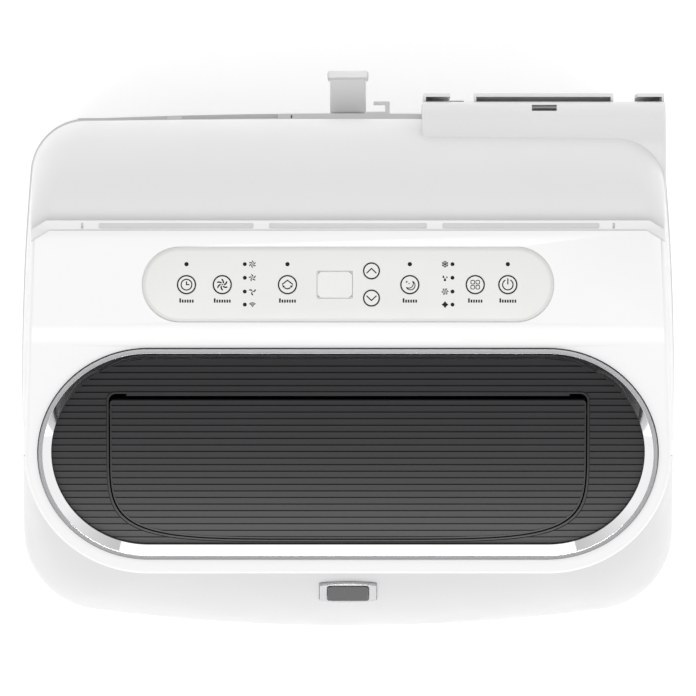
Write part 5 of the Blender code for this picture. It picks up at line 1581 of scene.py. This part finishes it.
def pale_floor():
    """A wide sheet of glossy white board that glows a little, like a lit studio sweep."""
    side = (-FLOOR_HALF, FLOOR_HALF)
    floor = blocks("studio_floor", [box(side, side, (-20, 0))])
    nodes = Nodes("floor_board", (0.93, 0.93, 0.93), 0.5)
    nodes.vary_roughness(nodes.noise(300.0, 3.0), 0.05)
    nodes.vary_colour(nodes.noise(900.0, 2.0), 0.995)
    nodes.shader.inputs["Emission Color"].default_value = (1, 1, 1, 1)
    nodes.shader.inputs["Emission Strength"].default_value = 0.45
    floor.data.materials.append(nodes.material)


def sun(name, strength, elevation, azimuth, softness):
    """A distant lamp; azimuth 0 shines from the front and 90 from the right."""
    data = bpy.data.lights.new(name, "SUN")
    data.energy = strength
    data.angle = math.radians(softness)
    lamp = bpy.data.objects.new(name, data)
    e, a = math.radians(elevation), math.radians(azimuth)
    source = Vector((math.sin(a) * math.cos(e), -math.cos(a) * math.cos(e), math.sin(e)))
    lamp.rotation_euler = source.to_track_quat("Z", "Y").to_euler()
    bpy.context.scene.collection.objects.link(lamp)


def studio_light():
    """A white surround, brightest near the horizon, a large lamp overhead and one behind."""
    world = bpy.data.worlds.new("studio")
    bpy.context.scene.world = world
    world.use_nodes = True
    nodes, links = world.node_tree.nodes, world.node_tree.links
    background = nodes["Background"]
    background.inputs["Color"].default_value = (1.0, 1.0, 1.0, 1.0)
    direction = nodes.new("ShaderNodeTexCoord").outputs["Generated"]
    split = nodes.new("ShaderNodeSeparateXYZ")
    fade = nodes.new("ShaderNodeMapRange")
    links.new(direction, split.inputs[0])
    links.new(split.outputs["Z"], fade.inputs["Value"])
    limits = {"From Min": 0.35, "From Max": 0.8, "To Min": HORIZON_LIGHT, "To Max": ZENITH_LIGHT}
    for key, value in limits.items():
        fade.inputs[key].default_value = value
    links.new(fade.outputs["Result"], background.inputs["Strength"])
    for lamp in LAMPS:
        sun(*lamp)
    bpy.context.scene.view_settings.view_transform = "Standard"


def top_camera():
    """A long lens straight above the cabinet, with the back of the cabinet at the picture's top."""
    data = bpy.data.cameras.new("camera")
    data.sensor_width = 36.0
    data.lens = data.sensor_width * CAMERA_HEIGHT / VIEW_WIDTH
    data.clip_start, data.clip_end = 1.0, 100.0
    camera = bpy.data.objects.new("camera", data)
    camera.location = (0, 0, TOP_Z * MM + CAMERA_HEIGHT)
    bpy.context.scene.collection.objects.link(camera)
    bpy.context.scene.camera = camera


front_panel()
rear_shell()
top_cover()
receiver()
outlet_ring()
vent_bezel()
outlet_flap()
overlay()
key_caps()
display()
indicators()
grille_from("rear_grille", "rear_grille_louvres", 26, 2, "rear_grille_door", 0)
grille_from(
    "side_grille", "side_grille_louvres", 26, 2, "side_grille_door", -math.pi / 2, SIDE_SLANT
)
filter_from("rear_filter", "rear_filter", "rear_grille_door", 0)
filter_from("side_filter", "side_filter", "side_grille_door", -math.pi / 2)
for caster_place in ("front_left", "front_right", "rear_left", "rear_right"):
    caster_wheel(caster_place)
finish_cad_nodes()
pale_floor()
studio_light()
top_camera()
